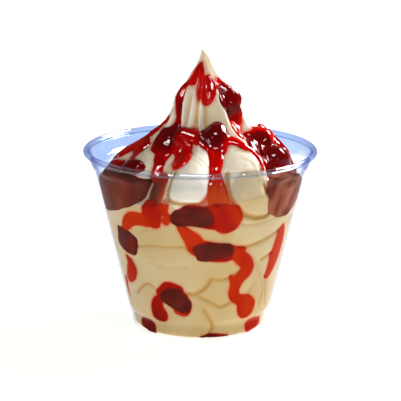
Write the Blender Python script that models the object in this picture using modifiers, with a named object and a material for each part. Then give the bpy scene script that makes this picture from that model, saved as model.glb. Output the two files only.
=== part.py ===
# A soft serve sundae with strawberry sauce and berry pieces, in its squat clear plastic cup.
# The origin is the middle of the cup's foot, +Z is up and the front looks along -Y.
# Sizes are in millimetres and MM turns them into metres. An angle is in degrees round the
# axis, from 0 at the front and growing towards +X, so a place is an angle and a height.

import math

import bmesh
import bpy
import numpy as np

MM = 0.001
# Keeps a division by a length or radius that can be nothing from failing.
TINY = 1e-9
# A pocket is wider than its piece by the gap and by what thinning the faces may cost.
GAP = 0.3
THINNING_ERROR = 0.6

# The cup: its section from the rolled rim down to the foot.
RIM_RADIUS = 46.0
RIM_TOP = 70.97
BEAD_RADIUS = 1.16
NECK_RADIUS = 43.45
NECK_TOP = 68.3
NECK_FOOT_RADIUS = 43.0
NECK_FOOT = 64.9
SHOULDER_RADIUS = 41.6
SHOULDER_HEIGHT = 63.2
STEP_RADIUS = 28.2
STEP_HEIGHT = 7.6
FOOT_RADIUS = 26.35
FOOT_HEIGHT = 5.0
CONTACT_RADIUS = 24.9
PUNT_EDGE_RADIUS = 21.5
PUNT_RADIUS = 17.9
PUNT_HEIGHT = 2.0
WALL = 0.6
# Small steps of its section: how far corners are rounded, and where slopes change.
FLOOR_INSET = 0.2
CORNER = 0.4
CORNER_RISE = 1.4
FOOT_FLARE = 0.7
FLARE_RISE = 0.8
STEP_ROUND = 0.35
STEP_ROUND_DROP = 0.9
SHOULDER_ROUND = 0.5
BEAD_ROOT_DROP = 1.6
# The bead runs from its inner root, over its top and outside, to its outer root.
BEAD_START = 150
BEAD_END = -150
BEAD_POINTS = 9
CUP_STEPS = 44
MERGE_DISTANCE = 0.01

# The soft serve: its height, its envelope and the grid that it is worked out on.
PEAK_HEIGHT = 110.4
FILL_GAP = 0.4
FLOOR_GAP = 0.4
FILL_FOOT_INSET = 1.0
PEAK_ROUND = 0.1
COLUMNS = 168
ROWS = 150
# The rows stand closer towards the peak: this share of them is even, the rest follow a sine.
EVEN_SHARE = 0.35
LOWEST_ROW = 1.5
SKIN_VOXEL = 0.6
SOFT_TRIANGLES = 7700
# Height, radius of the ridges' crests, and how far the swirl's axis leans to +X there.
ENVELOPE = (
    (50.0, 43.0, 0.0),
    (56.0, 41.0, 0.1),
    (60.8, 38.9, 0.5),
    (65.4, 36.4, 1.3),
    (68.6, 34.0, 1.9),
    (71.4, 30.4, 3.0),
    (74.2, 26.6, 3.7),
    (77.5, 23.2, 3.7),
    (80.0, 19.7, 3.2),
    (82.0, 17.3, 2.8),
    (85.0, 15.2, 2.4),
    (88.3, 13.7, 2.1),
    (91.5, 12.3, 1.9),
    (94.6, 10.0, 1.6),
    (97.8, 7.1, 1.6),
    (101.0, 5.2, 1.3),
    (104.2, 3.2, 1.4),
    (107.4, 1.8, 1.4),
    (109.0, 1.0, 1.1),
    (PEAK_HEIGHT, 0.3, 0.5),
)
# How deep the valleys are at a height, as a share of the radius.
VALLEY_DEPTH = (
    (50.0, 0.0),
    (57.0, 0.09),
    (64.0, 0.18),
    (72.0, 0.25),
    (80.0, 0.28),
    (90.0, 0.3),
    (100.0, 0.3),
    (PEAK_HEIGHT, 0.3),
)
# The ridges of the swirl at three heights: the crest, the valley to its right, its strength.
RIDGE_HEIGHTS = (66.0, 82.0, 98.0)
RIDGES = (
    ((-33, -38, -56), (-31, -33, -41), (0.0, 0.8, 0.9)),
    ((-29, -28, -26), (-26, -21, -17), (0.0, 0.9, 1.0)),
    ((-9, -12, -8), (8, -1, 0), (1.0, 0.75, 0.7)),
    ((35, 33, 31), (50, 50, 52), (1.0, 1.0, 1.0)),
    ((68, 66, 74), (87, 88, 92), (0.9, 0.9, 1.0)),
    ((106, 108, 112), (127, 128, 130), (1.0, 1.0, 0.9)),
    ((148, 148, 150), (168, 167, 168), (0.9, 1.0, 1.0)),
    ((188, 187, 186), (207, 206, 204), (1.0, 0.9, 0.9)),
    ((228, 225, 222), (247, 243, 240), (0.95, 1.0, 1.0)),
    ((268, 262, 258), (288, 280, 274), (0.9, 0.9, 0.9)),
    ((313, 294, 283), (321, 313, 293), (1.0, 1.0, 0.9)),
)
# Low on the swirl the ridges are round lobes, and above this band they are sharp fins.
ROUND_BELOW = 70.0
SHARP_ABOVE = 84.0
LOBE_POWER = 0.62
FIN_POWER = 1.35
# The two front lobes bulge over their feet: angle, half width, and by how much.
LOBE_BULGES = ((-9.0, 20.0, 1.6), (32.0, 22.0, 2.0), (190.0, 30.0, 1.5))
BULGE_HEIGHT = 71.0
BULGE_SPREAD = 5.0

# A path is followed on the swirl in this many steps between two of its points.
PATH_STEPS = 6

# Thick drizzle fused to the swirl: half width, thickness, and its path of angle and height.
DRIZZLE = (
    (2.4, 0.8, ((-40, 105.5), (-75, 101.0), (-70, 95.4))),
    (2.2, 0.8, ((-60, 99.5), (-20, 100.0), (8, 100.0), (40, 98.4), (74, 96.8))),
    (3.3, 1.1, ((6, 99.0), (3, 95.0), (0, 91.8))),
    (2.1, 0.9, ((-72, 97.0), (-56, 89.5), (-46, 84.6))),
    (4.4, 1.2, ((-46, 84.0), (-42, 77.8), (-41, 72.5))),
    (2.4, 1.0, ((-38, 73.0), (-31, 68.6), (-29, 63.5))),
    (3.0, 1.3, ((-30, 77.0), (-23, 73.0), (-22, 71.2))),
    (2.8, 1.2, ((-30, 80.5), (-12, 79.6), (6, 77.5))),
    (2.2, 1.1, ((12, 78.0), (30, 76.8), (41, 73.0), (44, 69.0), (47, 65.0))),
    (2.8, 1.4, ((8, 77.0), (6, 71.0), (7, 64.0), (8, 58.5))),
    (3.0, 1.1, ((74, 97.5), (58, 91.0), (44, 83.0), (41, 78.6))),
    (3.6, 1.2, ((66, 79.5), (80, 78.0))),
    (4.6, 1.2, ((60, 76.0), (56, 71.5), (66, 67.0))),
    (3.2, 1.0, ((100, 78.0), (96, 72.5), (88, 67.5))),
    (3.6, 1.0, ((-92, 84.0), (-98, 76.0), (-97, 68.0))),
    (2.6, 1.0, ((-60, 72.0), (-56, 66.0))),
    (2.6, 1.0, ((110, 99.0), (128, 92.0), (130, 84.0), (126, 76.5))),
    (3.2, 1.1, ((150, 84.0), (166, 78.0), (168, 70.0), (168, 63.0))),
    (2.6, 1.0, ((190, 99.0), (205, 91.0), (206, 81.0), (210, 74.0))),
    (3.4, 1.1, ((206, 76.0), (224, 72.0), (242, 68.0), (246, 62.5))),
    (2.4, 1.0, ((240, 93.0), (244, 84.0), (250, 77.5))),
)

# Creases where two folds of soft serve meet behind the wall: paths of angle and height.
CREASE_DEPTH = 0.9
CREASE_HALF_WIDTH = 1.7
CREASE_POWER = 1.5
CREASES = (
    ((-30, 59.0), (-20, 57.0), (-9, 56.6), (3, 58.0), (8, 62.0)),
    ((12, 59.0), (20, 53.5), (30, 50.0), (42, 50.0), (46, 56.0)),
    ((-42, 38.2), (-26, 38.9), (-9, 39.9)),
    ((20, 38.6), (39, 40.5), (53, 41.7), (66, 44.5)),
    ((9, 31.0), (8, 26.0), (3, 22.0), (-5, 19.0)),
    ((8, 27.0), (17, 25.6), (28, 28.5)),
    ((-3, 19.0), (14, 14.8), (23, 15.6)),
    ((64, 41.0), (54, 35.0), (40, 31.2)),
    ((-56, 17.0), (-39, 22.0), (-28, 21.0)),
    ((3, 13.5), (10, 6.5), (8, 2.5)),
    ((95, 33.0), (120, 38.0), (142, 33.0)),
    ((150, 44.0), (176, 40.0), (198, 43.0)),
    ((128, 22.0), (158, 17.0), (184, 23.0), (196, 33.0)),
    ((205, 36.0), (228, 41.0), (252, 36.0)),
    ((212, 12.0), (232, 19.0), (262, 22.0), (280, 33.0)),
)

# Sauce pooled between the swirl and the wall: ends of its arc, height of its bottom at the
# start, middle and end of the arc, height of its top there, and its least thickness.
POOLS = {
    "sauce_pool_left": ((-86, -35), (46.5, 49.8, 55.5), (57.0, 60.5, 61.5), 2.2),
    "sauce_pool_right": ((46, 90), (48.4, 48.6, 53.0), (61.5, 61.0, 59.0), 2.2),
    "sauce_pool_back": ((142, 198), (52.5, 48.0, 51.5), (58.5, 60.0, 59.0), 2.2),
}
POOL_COLUMNS = 10
POOL_LAYERS = 4
POOL_WAIST = 0.55
POOL_END_HEIGHT = 0.12
POOL_END_DEPTH = 0.3
POOL_FOOT_DEPTH = 0.35
POOL_SINK = 0.5
POCKET_REACH = 6.0
POOL_SHARP_ANGLE = 40

# The surface's directions under a piece are taken over this many degrees and millimetres.
FRAME_STEP = 2.0
# Strawberry pieces on the swirl: angle, height, lift, half width, half length, half depth
# and how far the piece turns on the surface.
TOP_BERRIES = (
    (8.5, 79.3, 1.6, 4.7, 5.6, 3.8, 0),
    (-42.0, 77.6, 1.2, 4.6, 6.6, 3.6, -22),
    (60.0, 90.6, 1.8, 3.6, 5.2, 3.0, 12),
    (50.0, 73.2, 1.6, 4.6, 4.4, 3.6, 0),
    (64.5, 70.8, 1.1, 4.9, 4.5, 3.6, -20),
    (-54.0, 67.8, 1.0, 5.0, 3.0, 3.0, 10),
    (71.0, 76.8, 1.0, 3.8, 3.2, 3.0, 0),
    (132.0, 71.6, 1.2, 5.0, 4.6, 3.6, 15),
    (168.0, 84.5, 1.5, 4.0, 5.6, 3.4, -10),
    (206.0, 69.6, 1.2, 5.2, 4.6, 3.6, -15),
)
# Strawberry pieces against the wall: angle, height, half width, half height, half depth, turn.
WALL_BERRIES = (
    (-3.8, 52.3, 9.0, 4.6, 4.2, 4),
    (8.5, 38.4, 9.6, 5.0, 4.4, -4),
    (-54.5, 38.6, 7.4, 5.0, 4.2, -18),
    (-16.5, 16.8, 6.6, 5.2, 4.0, -22),
    (-52.0, 4.6, 6.0, 3.4, 3.6, 0),
    (53.5, 4.6, 5.6, 3.4, 3.6, 0),
    (18.0, 3.9, 7.4, 2.7, 3.6, 0),
    (106.0, 44.5, 7.6, 5.0, 4.2, 12),
    (141.0, 26.5, 7.0, 5.2, 4.2, -14),
    (186.0, 35.5, 8.0, 4.8, 4.2, 8),
    (238.0, 27.0, 6.8, 5.4, 4.2, 20),
    (262.0, 48.0, 7.0, 4.6, 4.0, -8),
    (205.0, 9.5, 6.4, 3.8, 3.8, 0),
)
BERRY_COLUMNS = 10
BERRY_LAYERS = 6
# A piece's radius swells and shrinks with a few waves, and is squared off a little.
BERRY_UNEVENNESS = 0.34
BERRY_WAVES = 5
BERRY_WAVE_RATE = 1.9
BERRY_SQUARENESS = 0.35
# A wall piece's middle lies this share of its half depth behind the wall's limit.
PRESSED_SHARE = 0.45
WALL_PIECE_RISE = 0.35
TOP_SEED = 41
WALL_SEED = 141
SEED_STEP = 7

CUP_COLOUR = (0.78, 0.88, 0.95, 1.0)
CREAM_COLOUR = (0.80, 0.71, 0.53, 1.0)
SAUCE_COLOUR = (0.30, 0.012, 0.010, 1.0)
BERRY_COLOUR = (0.13, 0.006, 0.010, 1.0)


def clear_scene():
    for item in list(bpy.data.objects):
        bpy.data.objects.remove(item, do_unlink=True)


def new_collection(name):
    collection = bpy.data.collections.new(name)
    bpy.context.scene.collection.children.link(collection)
    return collection


def make_material(name, colour, roughness, transmission=0.0):
    material = bpy.data.materials.new(name)
    material.use_nodes = True
    shader = material.node_tree.nodes["Principled BSDF"]
    shader.inputs["Base Color"].default_value = colour
    shader.inputs["Roughness"].default_value = roughness
    shader.inputs["Metallic"].default_value = 0.0
    shader.inputs["Transmission Weight"].default_value = transmission
    return material


def add_object(name, points, faces, collection, material=None):
    """Makes a mesh object from points in millimetres."""
    mesh = bpy.data.meshes.new(name)
    mesh.from_pydata((np.asarray(points) * MM).tolist(), [], faces)
    mesh.update()
    if material is not None:
        mesh.materials.append(material)
    item = bpy.data.objects.new(name, mesh)
    collection.objects.link(item)
    return item


def make_helper(item):
    item.hide_render = True
    item.display_type = "WIRE"
    item.hide_set(True)


def arc(centre_radius, centre_height, radius, start, end, count):
    angles = np.radians(np.linspace(start, end, count))
    return [
        (centre_radius + radius * math.cos(a), centre_height + radius * math.sin(a))
        for a in angles
    ]


def inner_section():
    """The cup's inside from the middle of its floor up to the bead, as radius and height."""
    floor = PUNT_HEIGHT + WALL
    return [
        (0.0, floor),
        (PUNT_RADIUS - FLOOR_INSET, floor),
        (PUNT_EDGE_RADIUS - FLOOR_INSET, WALL),
        (CONTACT_RADIUS - CORNER, WALL),
        (FOOT_RADIUS - FLOOR_INSET - WALL, FLOOR_INSET + CORNER_RISE),
        (FOOT_RADIUS - WALL, FOOT_HEIGHT),
        (FOOT_RADIUS + FOOT_FLARE - WALL, FOOT_HEIGHT + FLARE_RISE + WALL),
        (STEP_RADIUS - WALL, STEP_HEIGHT + FLOOR_INSET),
        (SHOULDER_RADIUS - WALL, SHOULDER_HEIGHT + FLOOR_INSET),
        (NECK_FOOT_RADIUS - WALL, NECK_FOOT + FLOOR_INSET),
        (NECK_RADIUS - WALL, NECK_TOP),
        (NECK_RADIUS - WALL + FLOOR_INSET, RIM_TOP - BEAD_ROOT_DROP),
    ]


def outer_section():
    """The cup's outside from the bead down to the middle of its underside."""
    return [
        (NECK_RADIUS, NECK_TOP),
        (NECK_FOOT_RADIUS, NECK_FOOT),
        (SHOULDER_RADIUS + SHOULDER_ROUND, SHOULDER_HEIGHT + SHOULDER_ROUND),
        (SHOULDER_RADIUS, SHOULDER_HEIGHT),
        (STEP_RADIUS, STEP_HEIGHT),
        (STEP_RADIUS - STEP_ROUND, STEP_HEIGHT - STEP_ROUND_DROP),
        (FOOT_RADIUS + FOOT_FLARE, FOOT_HEIGHT + FLARE_RISE),
        (FOOT_RADIUS, FOOT_HEIGHT),
        (FOOT_RADIUS, CORNER_RISE),
        (FOOT_RADIUS - CORNER, CORNER),
        (CONTACT_RADIUS, 0.0),
        (PUNT_EDGE_RADIUS, 0.0),
        (PUNT_RADIUS, PUNT_HEIGHT),
        (0.0, PUNT_HEIGHT),
    ]


def build_cup(collection):
    """The cup's section with its rolled rim, turned round the axis."""
    middle = (RIM_RADIUS - BEAD_RADIUS, RIM_TOP - BEAD_RADIUS)
    bead = arc(*middle, BEAD_RADIUS, BEAD_START, BEAD_END, BEAD_POINTS)
    section = inner_section() + bead + outer_section()
    points = [(radius, 0.0, height) for radius, height in section]
    mesh = bpy.data.meshes.new("cup")
    edges = [(i, i + 1) for i in range(len(points) - 1)]
    mesh.from_pydata((np.array(points) * MM).tolist(), edges, [])
    mesh.materials.append(make_material("clear plastic", CUP_COLOUR, 0.05, 1.0))
    cup = bpy.data.objects.new("cup", mesh)
    collection.objects.link(cup)
    screw = cup.modifiers.new("turn", "SCREW")
    screw.axis = "Z"
    screw.angle = math.tau
    screw.steps = CUP_STEPS
    screw.render_steps = CUP_STEPS
    screw.use_merge_vertices = True
    screw.merge_threshold = MERGE_DISTANCE * MM
    screw.use_smooth_shade = True
    return cup


def wall_limit(height):
    """How far from the cup's axis the food may reach at a height."""
    side = [point for point in inner_section() if point[0] > CONTACT_RADIUS - FILL_FOOT_INSET]
    radii, heights = zip(*side)
    return np.interp(height, heights, radii) - FILL_GAP


def inside_wall(points):
    """Brings points that lie beyond the wall's limit back to it, straight towards the axis."""
    reach = np.hypot(points[..., 0], points[..., 1])
    held = np.minimum(reach, wall_limit(points[..., 2])) / np.maximum(reach, TINY)
    return points * np.stack([held, held, np.ones_like(held)], axis=-1)


def smooth_step(low, high, value):
    share = np.clip((value - low) / (high - low), 0.0, 1.0)
    return share * share * (3.0 - 2.0 * share)


def table(rows, column, height):
    values = np.array(rows)
    return np.interp(height, values[:, 0], values[:, column])


def turned(angle):
    """The angle brought between -180 and 180."""
    return (angle + 180.0) % 360.0 - 180.0


def ridge_height(angle, height):
    """0 in a valley of the swirl and 1 on a full crest.

    Between a valley and a crest the share u of the way is taken. Its power above 1 makes
    a sharp fin, and its sine to a power below 1 makes a round lobe.
    """
    total = np.zeros(np.broadcast(angle, height).shape)
    sharp = smooth_step(ROUND_BELOW, SHARP_ABOVE, height)
    for index, (crests, valleys, strengths) in enumerate(RIDGES):
        crest = np.interp(height, RIDGE_HEIGHTS, crests)
        right = turned(np.interp(height, RIDGE_HEIGHTS, valleys) - crest)
        left = turned(crest - np.interp(height, RIDGE_HEIGHTS, RIDGES[index - 1][1]))
        strength = np.interp(height, RIDGE_HEIGHTS, strengths)
        offset = turned(angle - crest)
        share = np.where(offset < 0, 1.0 + offset / left, 1.0 - offset / right)
        share = np.clip(share, 0.0, 1.0)
        fin = share**FIN_POWER
        lobe = np.sin(share * math.pi / 2.0) ** LOBE_POWER
        total = total + strength * (fin * sharp + lobe * (1.0 - sharp))
    return total


def swirl_radius(angle, height):
    """The swirl's distance from its own leaning axis: envelope, ridges and lobe bulges."""
    radius = table(ENVELOPE, 1, height)
    depth = table(VALLEY_DEPTH, 1, height)
    radius = radius * (1.0 - depth * (1.0 - ridge_height(angle, height)))
    for middle, half_width, amount in LOBE_BULGES:
        across = turned(angle - middle) / half_width
        up = (height - BULGE_HEIGHT) / BULGE_SPREAD
        radius = radius + amount * np.exp(-(across**2) - up**2)
    return radius


def swirl_points(angle, height):
    """Points of the swirl's surface, held inside the cup's wall."""
    turn = np.radians(angle)
    radius = swirl_radius(angle, height)
    x = table(ENVELOPE, 2, height) + radius * np.sin(turn)
    y = -radius * np.cos(turn)
    return inside_wall(np.stack([x, y, height + 0.0 * x], axis=-1))


def swirl_frame(angle, height):
    """A point of the swirl with its unit vectors across, up the slope and outwards."""
    step = FRAME_STEP
    here = swirl_points(np.array(float(angle)), np.array(float(height)))
    sides = [swirl_points(np.array(angle + a), np.array(float(height))) for a in (-step, step)]
    ends = [swirl_points(np.array(float(angle)), np.array(height + h)) for h in (-step, step)]
    across = (sides[1] - sides[0]) / np.linalg.norm(sides[1] - sides[0])
    up = ends[1] - ends[0]
    up = up - across * (up @ across)
    up = up / np.linalg.norm(up)
    return here, across, up, np.cross(across, up)


def path_points(path):
    """Points along a path of angle and height on the swirl, a few degrees apart."""
    knots = np.array(path, float)
    share = np.linspace(0, len(knots) - 1, PATH_STEPS * (len(knots) - 1) + 1)
    angle = np.interp(share, range(len(knots)), knots[:, 0])
    height = np.interp(share, range(len(knots)), knots[:, 1])
    return swirl_points(angle, height)


def path_distance(points, path):
    """Each point's distance to a path of straight runs."""
    nearest = np.full(points.shape[:-1], np.inf)
    for start, end in zip(path[:-1], path[1:]):
        run = end - start
        share = np.clip((points - start) @ run / max(run @ run, TINY), 0.0, 1.0)
        gap = points - start - share[..., None] * run
        nearest = np.minimum(nearest, np.linalg.norm(gap, axis=-1))
    return nearest


def drizzle_thickness(points):
    """Thickness of the fused drizzle: a half ellipse across each path, the largest wins."""
    thickness = np.zeros(points.shape[:-1])
    for half_width, height, path in DRIZZLE:
        share = path_distance(points, path_points(path)) / half_width
        bead = height * np.sqrt(np.clip(1.0 - share**2, 0.0, 1.0))
        thickness = np.maximum(thickness, bead)
    return thickness


def crease_cut(points):
    """How deep the creases cut behind the wall."""
    depth = np.zeros(points.shape[:-1])
    for path in CREASES:
        share = path_distance(points, path_points(path)) / CREASE_HALF_WIDTH
        depth = np.maximum(depth, CREASE_DEPTH * np.clip(1.0 - share, 0.0, 1.0) ** CREASE_POWER)
    return depth


def grid_normals(points):
    """Unit normals of a grid whose rows go round the axis and close."""
    along = np.roll(points, -1, axis=1) - np.roll(points, 1, axis=1)
    up = np.gradient(points, axis=0)
    normal = np.cross(along, up)
    return normal / np.maximum(np.linalg.norm(normal, axis=-1, keepdims=True), TINY)


def soft_serve_grid():
    """The soft serve's side: the swirl's form with drizzle laid on it and creases cut in."""
    share = np.linspace(0.0, 1.0, ROWS)
    eased = EVEN_SHARE * share + (1.0 - EVEN_SHARE) * np.sin(share * math.pi / 2)
    height = LOWEST_ROW + (PEAK_HEIGHT - LOWEST_ROW) * eased
    angle = np.arange(COLUMNS) * 360.0 / COLUMNS
    points = swirl_points(angle[None, :], height[:, None])
    normals = grid_normals(points)
    inward = points * (-1.0, -1.0, 0.0)
    inward = inward / np.maximum(np.linalg.norm(inward, axis=-1, keepdims=True), TINY)
    points = points + normals * drizzle_thickness(points)[..., None]
    points = points + inward * crease_cut(points)[..., None]
    return inside_wall(points)


def stack_faces(rows, columns, first=0):
    """Quads between neighbouring closed rings of points."""
    faces = []
    for row in range(rows - 1):
        base = first + row * columns
        for i in range(columns):
            j = (i + 1) % columns
            faces.append((base + i, base + j, base + columns + j, base + columns + i))
    return faces


def close_rings(points, rows, columns, bottom, top):
    """Closes a stack of rings with a point below and a point above it."""
    everything = np.vstack([points.reshape(-1, 3), [bottom], [top]])
    faces = stack_faces(rows, columns)
    low = rows * columns
    last = (rows - 1) * columns
    for i in range(columns):
        j = (i + 1) % columns
        faces.append((low, j, i))
        faces.append((low + 1, last + i, last + j))
    return everything, faces


def count_triangles(item):
    graph = bpy.context.evaluated_depsgraph_get()
    mesh = item.evaluated_get(graph).to_mesh()
    mesh.calc_loop_triangles()
    return len(mesh.loop_triangles)


def build_soft_serve(collection, cutters):
    """The soft serve: its floor rings follow the cup's floor, its side the swirl's grid."""
    side = soft_serve_grid()
    turn = np.radians(np.arange(COLUMNS) * 360.0 / COLUMNS)
    floor = PUNT_HEIGHT + WALL + FLOOR_GAP
    rings = [
        (PUNT_RADIUS / 2, floor),
        (PUNT_RADIUS, floor),
        (PUNT_EDGE_RADIUS, WALL + FLOOR_GAP),
        (CONTACT_RADIUS - FILL_FOOT_INSET, WALL + FLOOR_GAP),
    ]
    low = [
        np.stack([r * np.sin(turn), -r * np.cos(turn), np.full(COLUMNS, z)], axis=-1)
        for r, z in rings
    ]
    points = np.concatenate([np.array(low), side])
    top = side[-1].mean(axis=0) + (0.0, 0.0, PEAK_ROUND)
    everything, faces = close_rings(points, len(points), COLUMNS, (0.0, 0.0, floor), top)
    material = make_material("vanilla soft serve", CREAM_COLOUR, 0.45)
    soft_serve = add_object("soft_serve", everything, faces, collection, material)
    soft_serve.data.shade_smooth()
    pockets = soft_serve.modifiers.new("pockets", "BOOLEAN")
    pockets.operation = "DIFFERENCE"
    pockets.operand_type = "COLLECTION"
    pockets.collection = cutters
    pockets.solver = "EXACT"
    even = soft_serve.modifiers.new("even faces", "REMESH")
    even.mode = "VOXEL"
    even.voxel_size = SKIN_VOXEL * MM
    fine_triangles = count_triangles(soft_serve)
    thin = soft_serve.modifiers.new("fewer triangles", "DECIMATE")
    thin.ratio = SOFT_TRIANGLES / fine_triangles
    return soft_serve


def lump_points(half_sizes, seed, grow):
    """An uneven lump: an ellipsoid whose radius swells and shrinks with a few waves.

    The layers go from its lower pole to its upper one, and grow widens it all round.
    """
    polar = np.linspace(-90, 90, BERRY_LAYERS + 1)[1:-1]
    around = np.arange(BERRY_COLUMNS) * 360.0 / BERRY_COLUMNS
    rise, turn = np.meshgrid(np.radians(polar), np.radians(around), indexing="ij")
    ray = np.stack([np.cos(rise) * np.cos(turn), np.cos(rise) * np.sin(turn), np.sin(rise)], -1)
    ray = np.concatenate([ray.reshape(-1, 3), [[0, 0, -1.0], [0, 0, 1.0]]])
    waves = np.random.default_rng(seed).normal(size=(BERRY_WAVES, 3)) * BERRY_WAVE_RATE
    phases = np.random.default_rng(seed + 1).uniform(0, math.tau, BERRY_WAVES)
    bumps = np.sin(ray @ waves.T + phases).mean(axis=1)
    square = np.abs(ray).max(axis=1) ** -BERRY_SQUARENESS
    scale = (1.0 + BERRY_UNEVENNESS * bumps) * square
    return ray * (half_sizes * scale[:, None] + grow)


def lump_faces():
    rings = BERRY_LAYERS - 1
    places = np.zeros((rings * BERRY_COLUMNS, 3))
    return close_rings(places, rings, BERRY_COLUMNS, (0, 0, 0), (0, 0, 0))[1]


def place_lump(points, centre, across, up, outward, turn):
    """Turns a lump on the surface, then sets it there: X across, Z up, -Y outwards."""
    a = math.radians(turn)
    right = across * math.cos(a) + up * math.sin(a)
    upward = up * math.cos(a) - across * math.sin(a)
    return centre + points[:, :1] * right - points[:, 1:2] * outward + points[:, 2:] * upward


def build_top_berries(collection, cutters, material):
    for index, (angle, height, lift, wide, long, deep, turn) in enumerate(TOP_BERRIES):
        here, across, up, outward = swirl_frame(angle, height)
        sizes = np.array([wide, deep, long])
        for target, grow, name in (
            (collection, 0.0, f"top_strawberry_{index + 1:02d}"),
            (cutters, GAP + THINNING_ERROR, f"top_pocket_{index + 1:02d}"),
        ):
            lump = lump_points(sizes, TOP_SEED + SEED_STEP * index, grow)
            points = place_lump(lump, here + outward * lift, across, up, outward, turn)
            item = add_object(name, points, lump_faces(), target, material)
            item.data.shade_smooth()


def hold_in_wall(points):
    """Presses points flat against the wall and keeps them over the cup's floor."""
    height = np.maximum(points[:, 2], WALL + FLOOR_GAP + WALL_PIECE_RISE)
    return inside_wall(np.stack([points[:, 0], points[:, 1], height], axis=-1))


def build_wall_berries(collection, cutters, material):
    lean = math.atan2(SHOULDER_RADIUS - STEP_RADIUS, SHOULDER_HEIGHT - STEP_HEIGHT)
    for index, (angle, height, wide, tall, deep, turn) in enumerate(WALL_BERRIES):
        a = math.radians(angle)
        radial = np.array([math.sin(a), -math.cos(a), 0.0])
        across = np.array([math.cos(a), math.sin(a), 0.0])
        up = radial * math.sin(lean) + np.array([0.0, 0.0, math.cos(lean)])
        outward = np.cross(across, up)
        reach = float(wall_limit(height)) - deep * PRESSED_SHARE
        centre = radial * reach + np.array([0.0, 0.0, height])
        sizes = np.array([wide, deep, tall])
        seed = WALL_SEED + SEED_STEP * index
        piece = place_lump(lump_points(sizes, seed, 0.0), centre, across, up, outward, turn)
        wider = lump_points(sizes, seed, GAP + THINNING_ERROR)
        pocket = place_lump(wider, centre, across, up, outward, turn)
        name = f"wall_strawberry_{index + 1:02d}"
        item = add_object(name, hold_in_wall(piece), lump_faces(), collection, material)
        item.data.shade_smooth()
        add_object(f"wall_pocket_{index + 1:02d}", pocket, lump_faces(), cutters)


def pool_points(arc_ends, bottoms, tops, least, grow):
    """A pool as a stack of rings: each ring runs along the wall and back along the swirl.

    Its height and depth fall off towards its two ends as a power of the place along it,
    and its back reaches POOL_SINK into the swirl, where the pocket makes room for it.
    """
    share = np.linspace(0.0, 1.0, POOL_COLUMNS)
    angle = np.linspace(*arc_ends, POOL_COLUMNS)
    wider = math.degrees(grow / FOOT_RADIUS)
    angle[0] -= wider
    angle[-1] += wider
    bottom = np.interp(share, (0, 0.5, 1), bottoms)
    top = np.interp(share, (0, 0.5, 1), tops)
    round_off = np.sqrt(np.clip(1.0 - (2.0 * share - 1.0) ** 4, 0.0, 1.0))
    waist = bottom + (top - bottom) * POOL_WAIST
    bottom = waist + (bottom - waist) * np.maximum(round_off, POOL_END_HEIGHT) - grow
    top = waist + (top - waist) * np.maximum(round_off, POOL_END_HEIGHT) + grow
    rings = []
    for layer in np.linspace(0.0, 1.0, POOL_LAYERS):
        height = bottom + (top - bottom) * layer
        limit = wall_limit(height)
        swirl = swirl_points(angle, height)
        fullness = POOL_FOOT_DEPTH + (1.0 - POOL_FOOT_DEPTH) * layer
        depth = least * fullness * np.maximum(round_off, POOL_END_DEPTH)
        back = np.minimum(np.hypot(swirl[:, 0], swirl[:, 1]) - POOL_SINK, limit - depth) - grow
        front = limit + POCKET_REACH * grow
        turn = np.radians(angle)
        flat = np.stack([np.sin(turn), -np.cos(turn)], axis=-1)
        outside = np.column_stack([flat * front[:, None], height])
        inside = np.column_stack([flat * back[:, None], height])
        rings.append(np.vstack([outside, inside[::-1]]))
    return np.array(rings)


def add_pool(name, rings, collection, material=None):
    """Joins the pool's rings, and closes it with strips at its bottom and its top."""
    layers, count = rings.shape[:2]
    faces = stack_faces(layers, count)
    last = (layers - 1) * count
    for i in range(count // 2 - 1):
        faces.append((i, count - 1 - i, count - 2 - i, i + 1))
        faces.append((last + i, last + i + 1, last + count - 2 - i, last + count - 1 - i))
    return add_object(name, rings.reshape(-1, 3), faces, collection, material)


def build_pools(collection, cutters, material):
    for name, (ends, bottoms, tops, least) in POOLS.items():
        piece = add_pool(name, pool_points(ends, bottoms, tops, least, 0.0), collection, material)
        piece.data.shade_smooth()
        piece.data.set_sharp_from_angle(angle=math.radians(POOL_SHARP_ANGLE))
        rings = pool_points(ends, bottoms, tops, least, GAP + THINNING_ERROR)
        add_pool(f"{name}_pocket", rings, cutters)


def close_cutters(cutters):
    """Turns the cutters' faces outwards and hides them."""
    for item in cutters.objects:
        face_outwards(item)
        make_helper(item)


def face_outwards(item):
    work = bmesh.new()
    work.from_mesh(item.data)
    bmesh.ops.recalc_face_normals(work, faces=work.faces)
    work.to_mesh(item.data)
    work.free()


def main():
    clear_scene()
    sundae = new_collection("strawberry_sundae")
    cutters = new_collection("cutters")
    sauce = make_material("strawberry sauce", SAUCE_COLOUR, 0.12)
    berry = make_material("strawberry piece", BERRY_COLOUR, 0.18)
    build_cup(sundae)
    build_top_berries(sundae, cutters, berry)
    build_wall_berries(sundae, cutters, berry)
    build_pools(sundae, cutters, sauce)
    for item in sundae.objects:
        if item.name != "cup":
            face_outwards(item)
    close_cutters(cutters)
    build_soft_serve(sundae, cutters)


main()
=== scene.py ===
# A soft serve sundae with strawberry sauce and berry pieces, in its squat clear plastic cup.
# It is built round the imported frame. Lengths are in millimetres until a mesh is made, and
# an angle is in degrees round the cup, from 0 at the front and growing towards +X.

import math

import bpy
import numpy as np
from mathutils import Matrix


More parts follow.
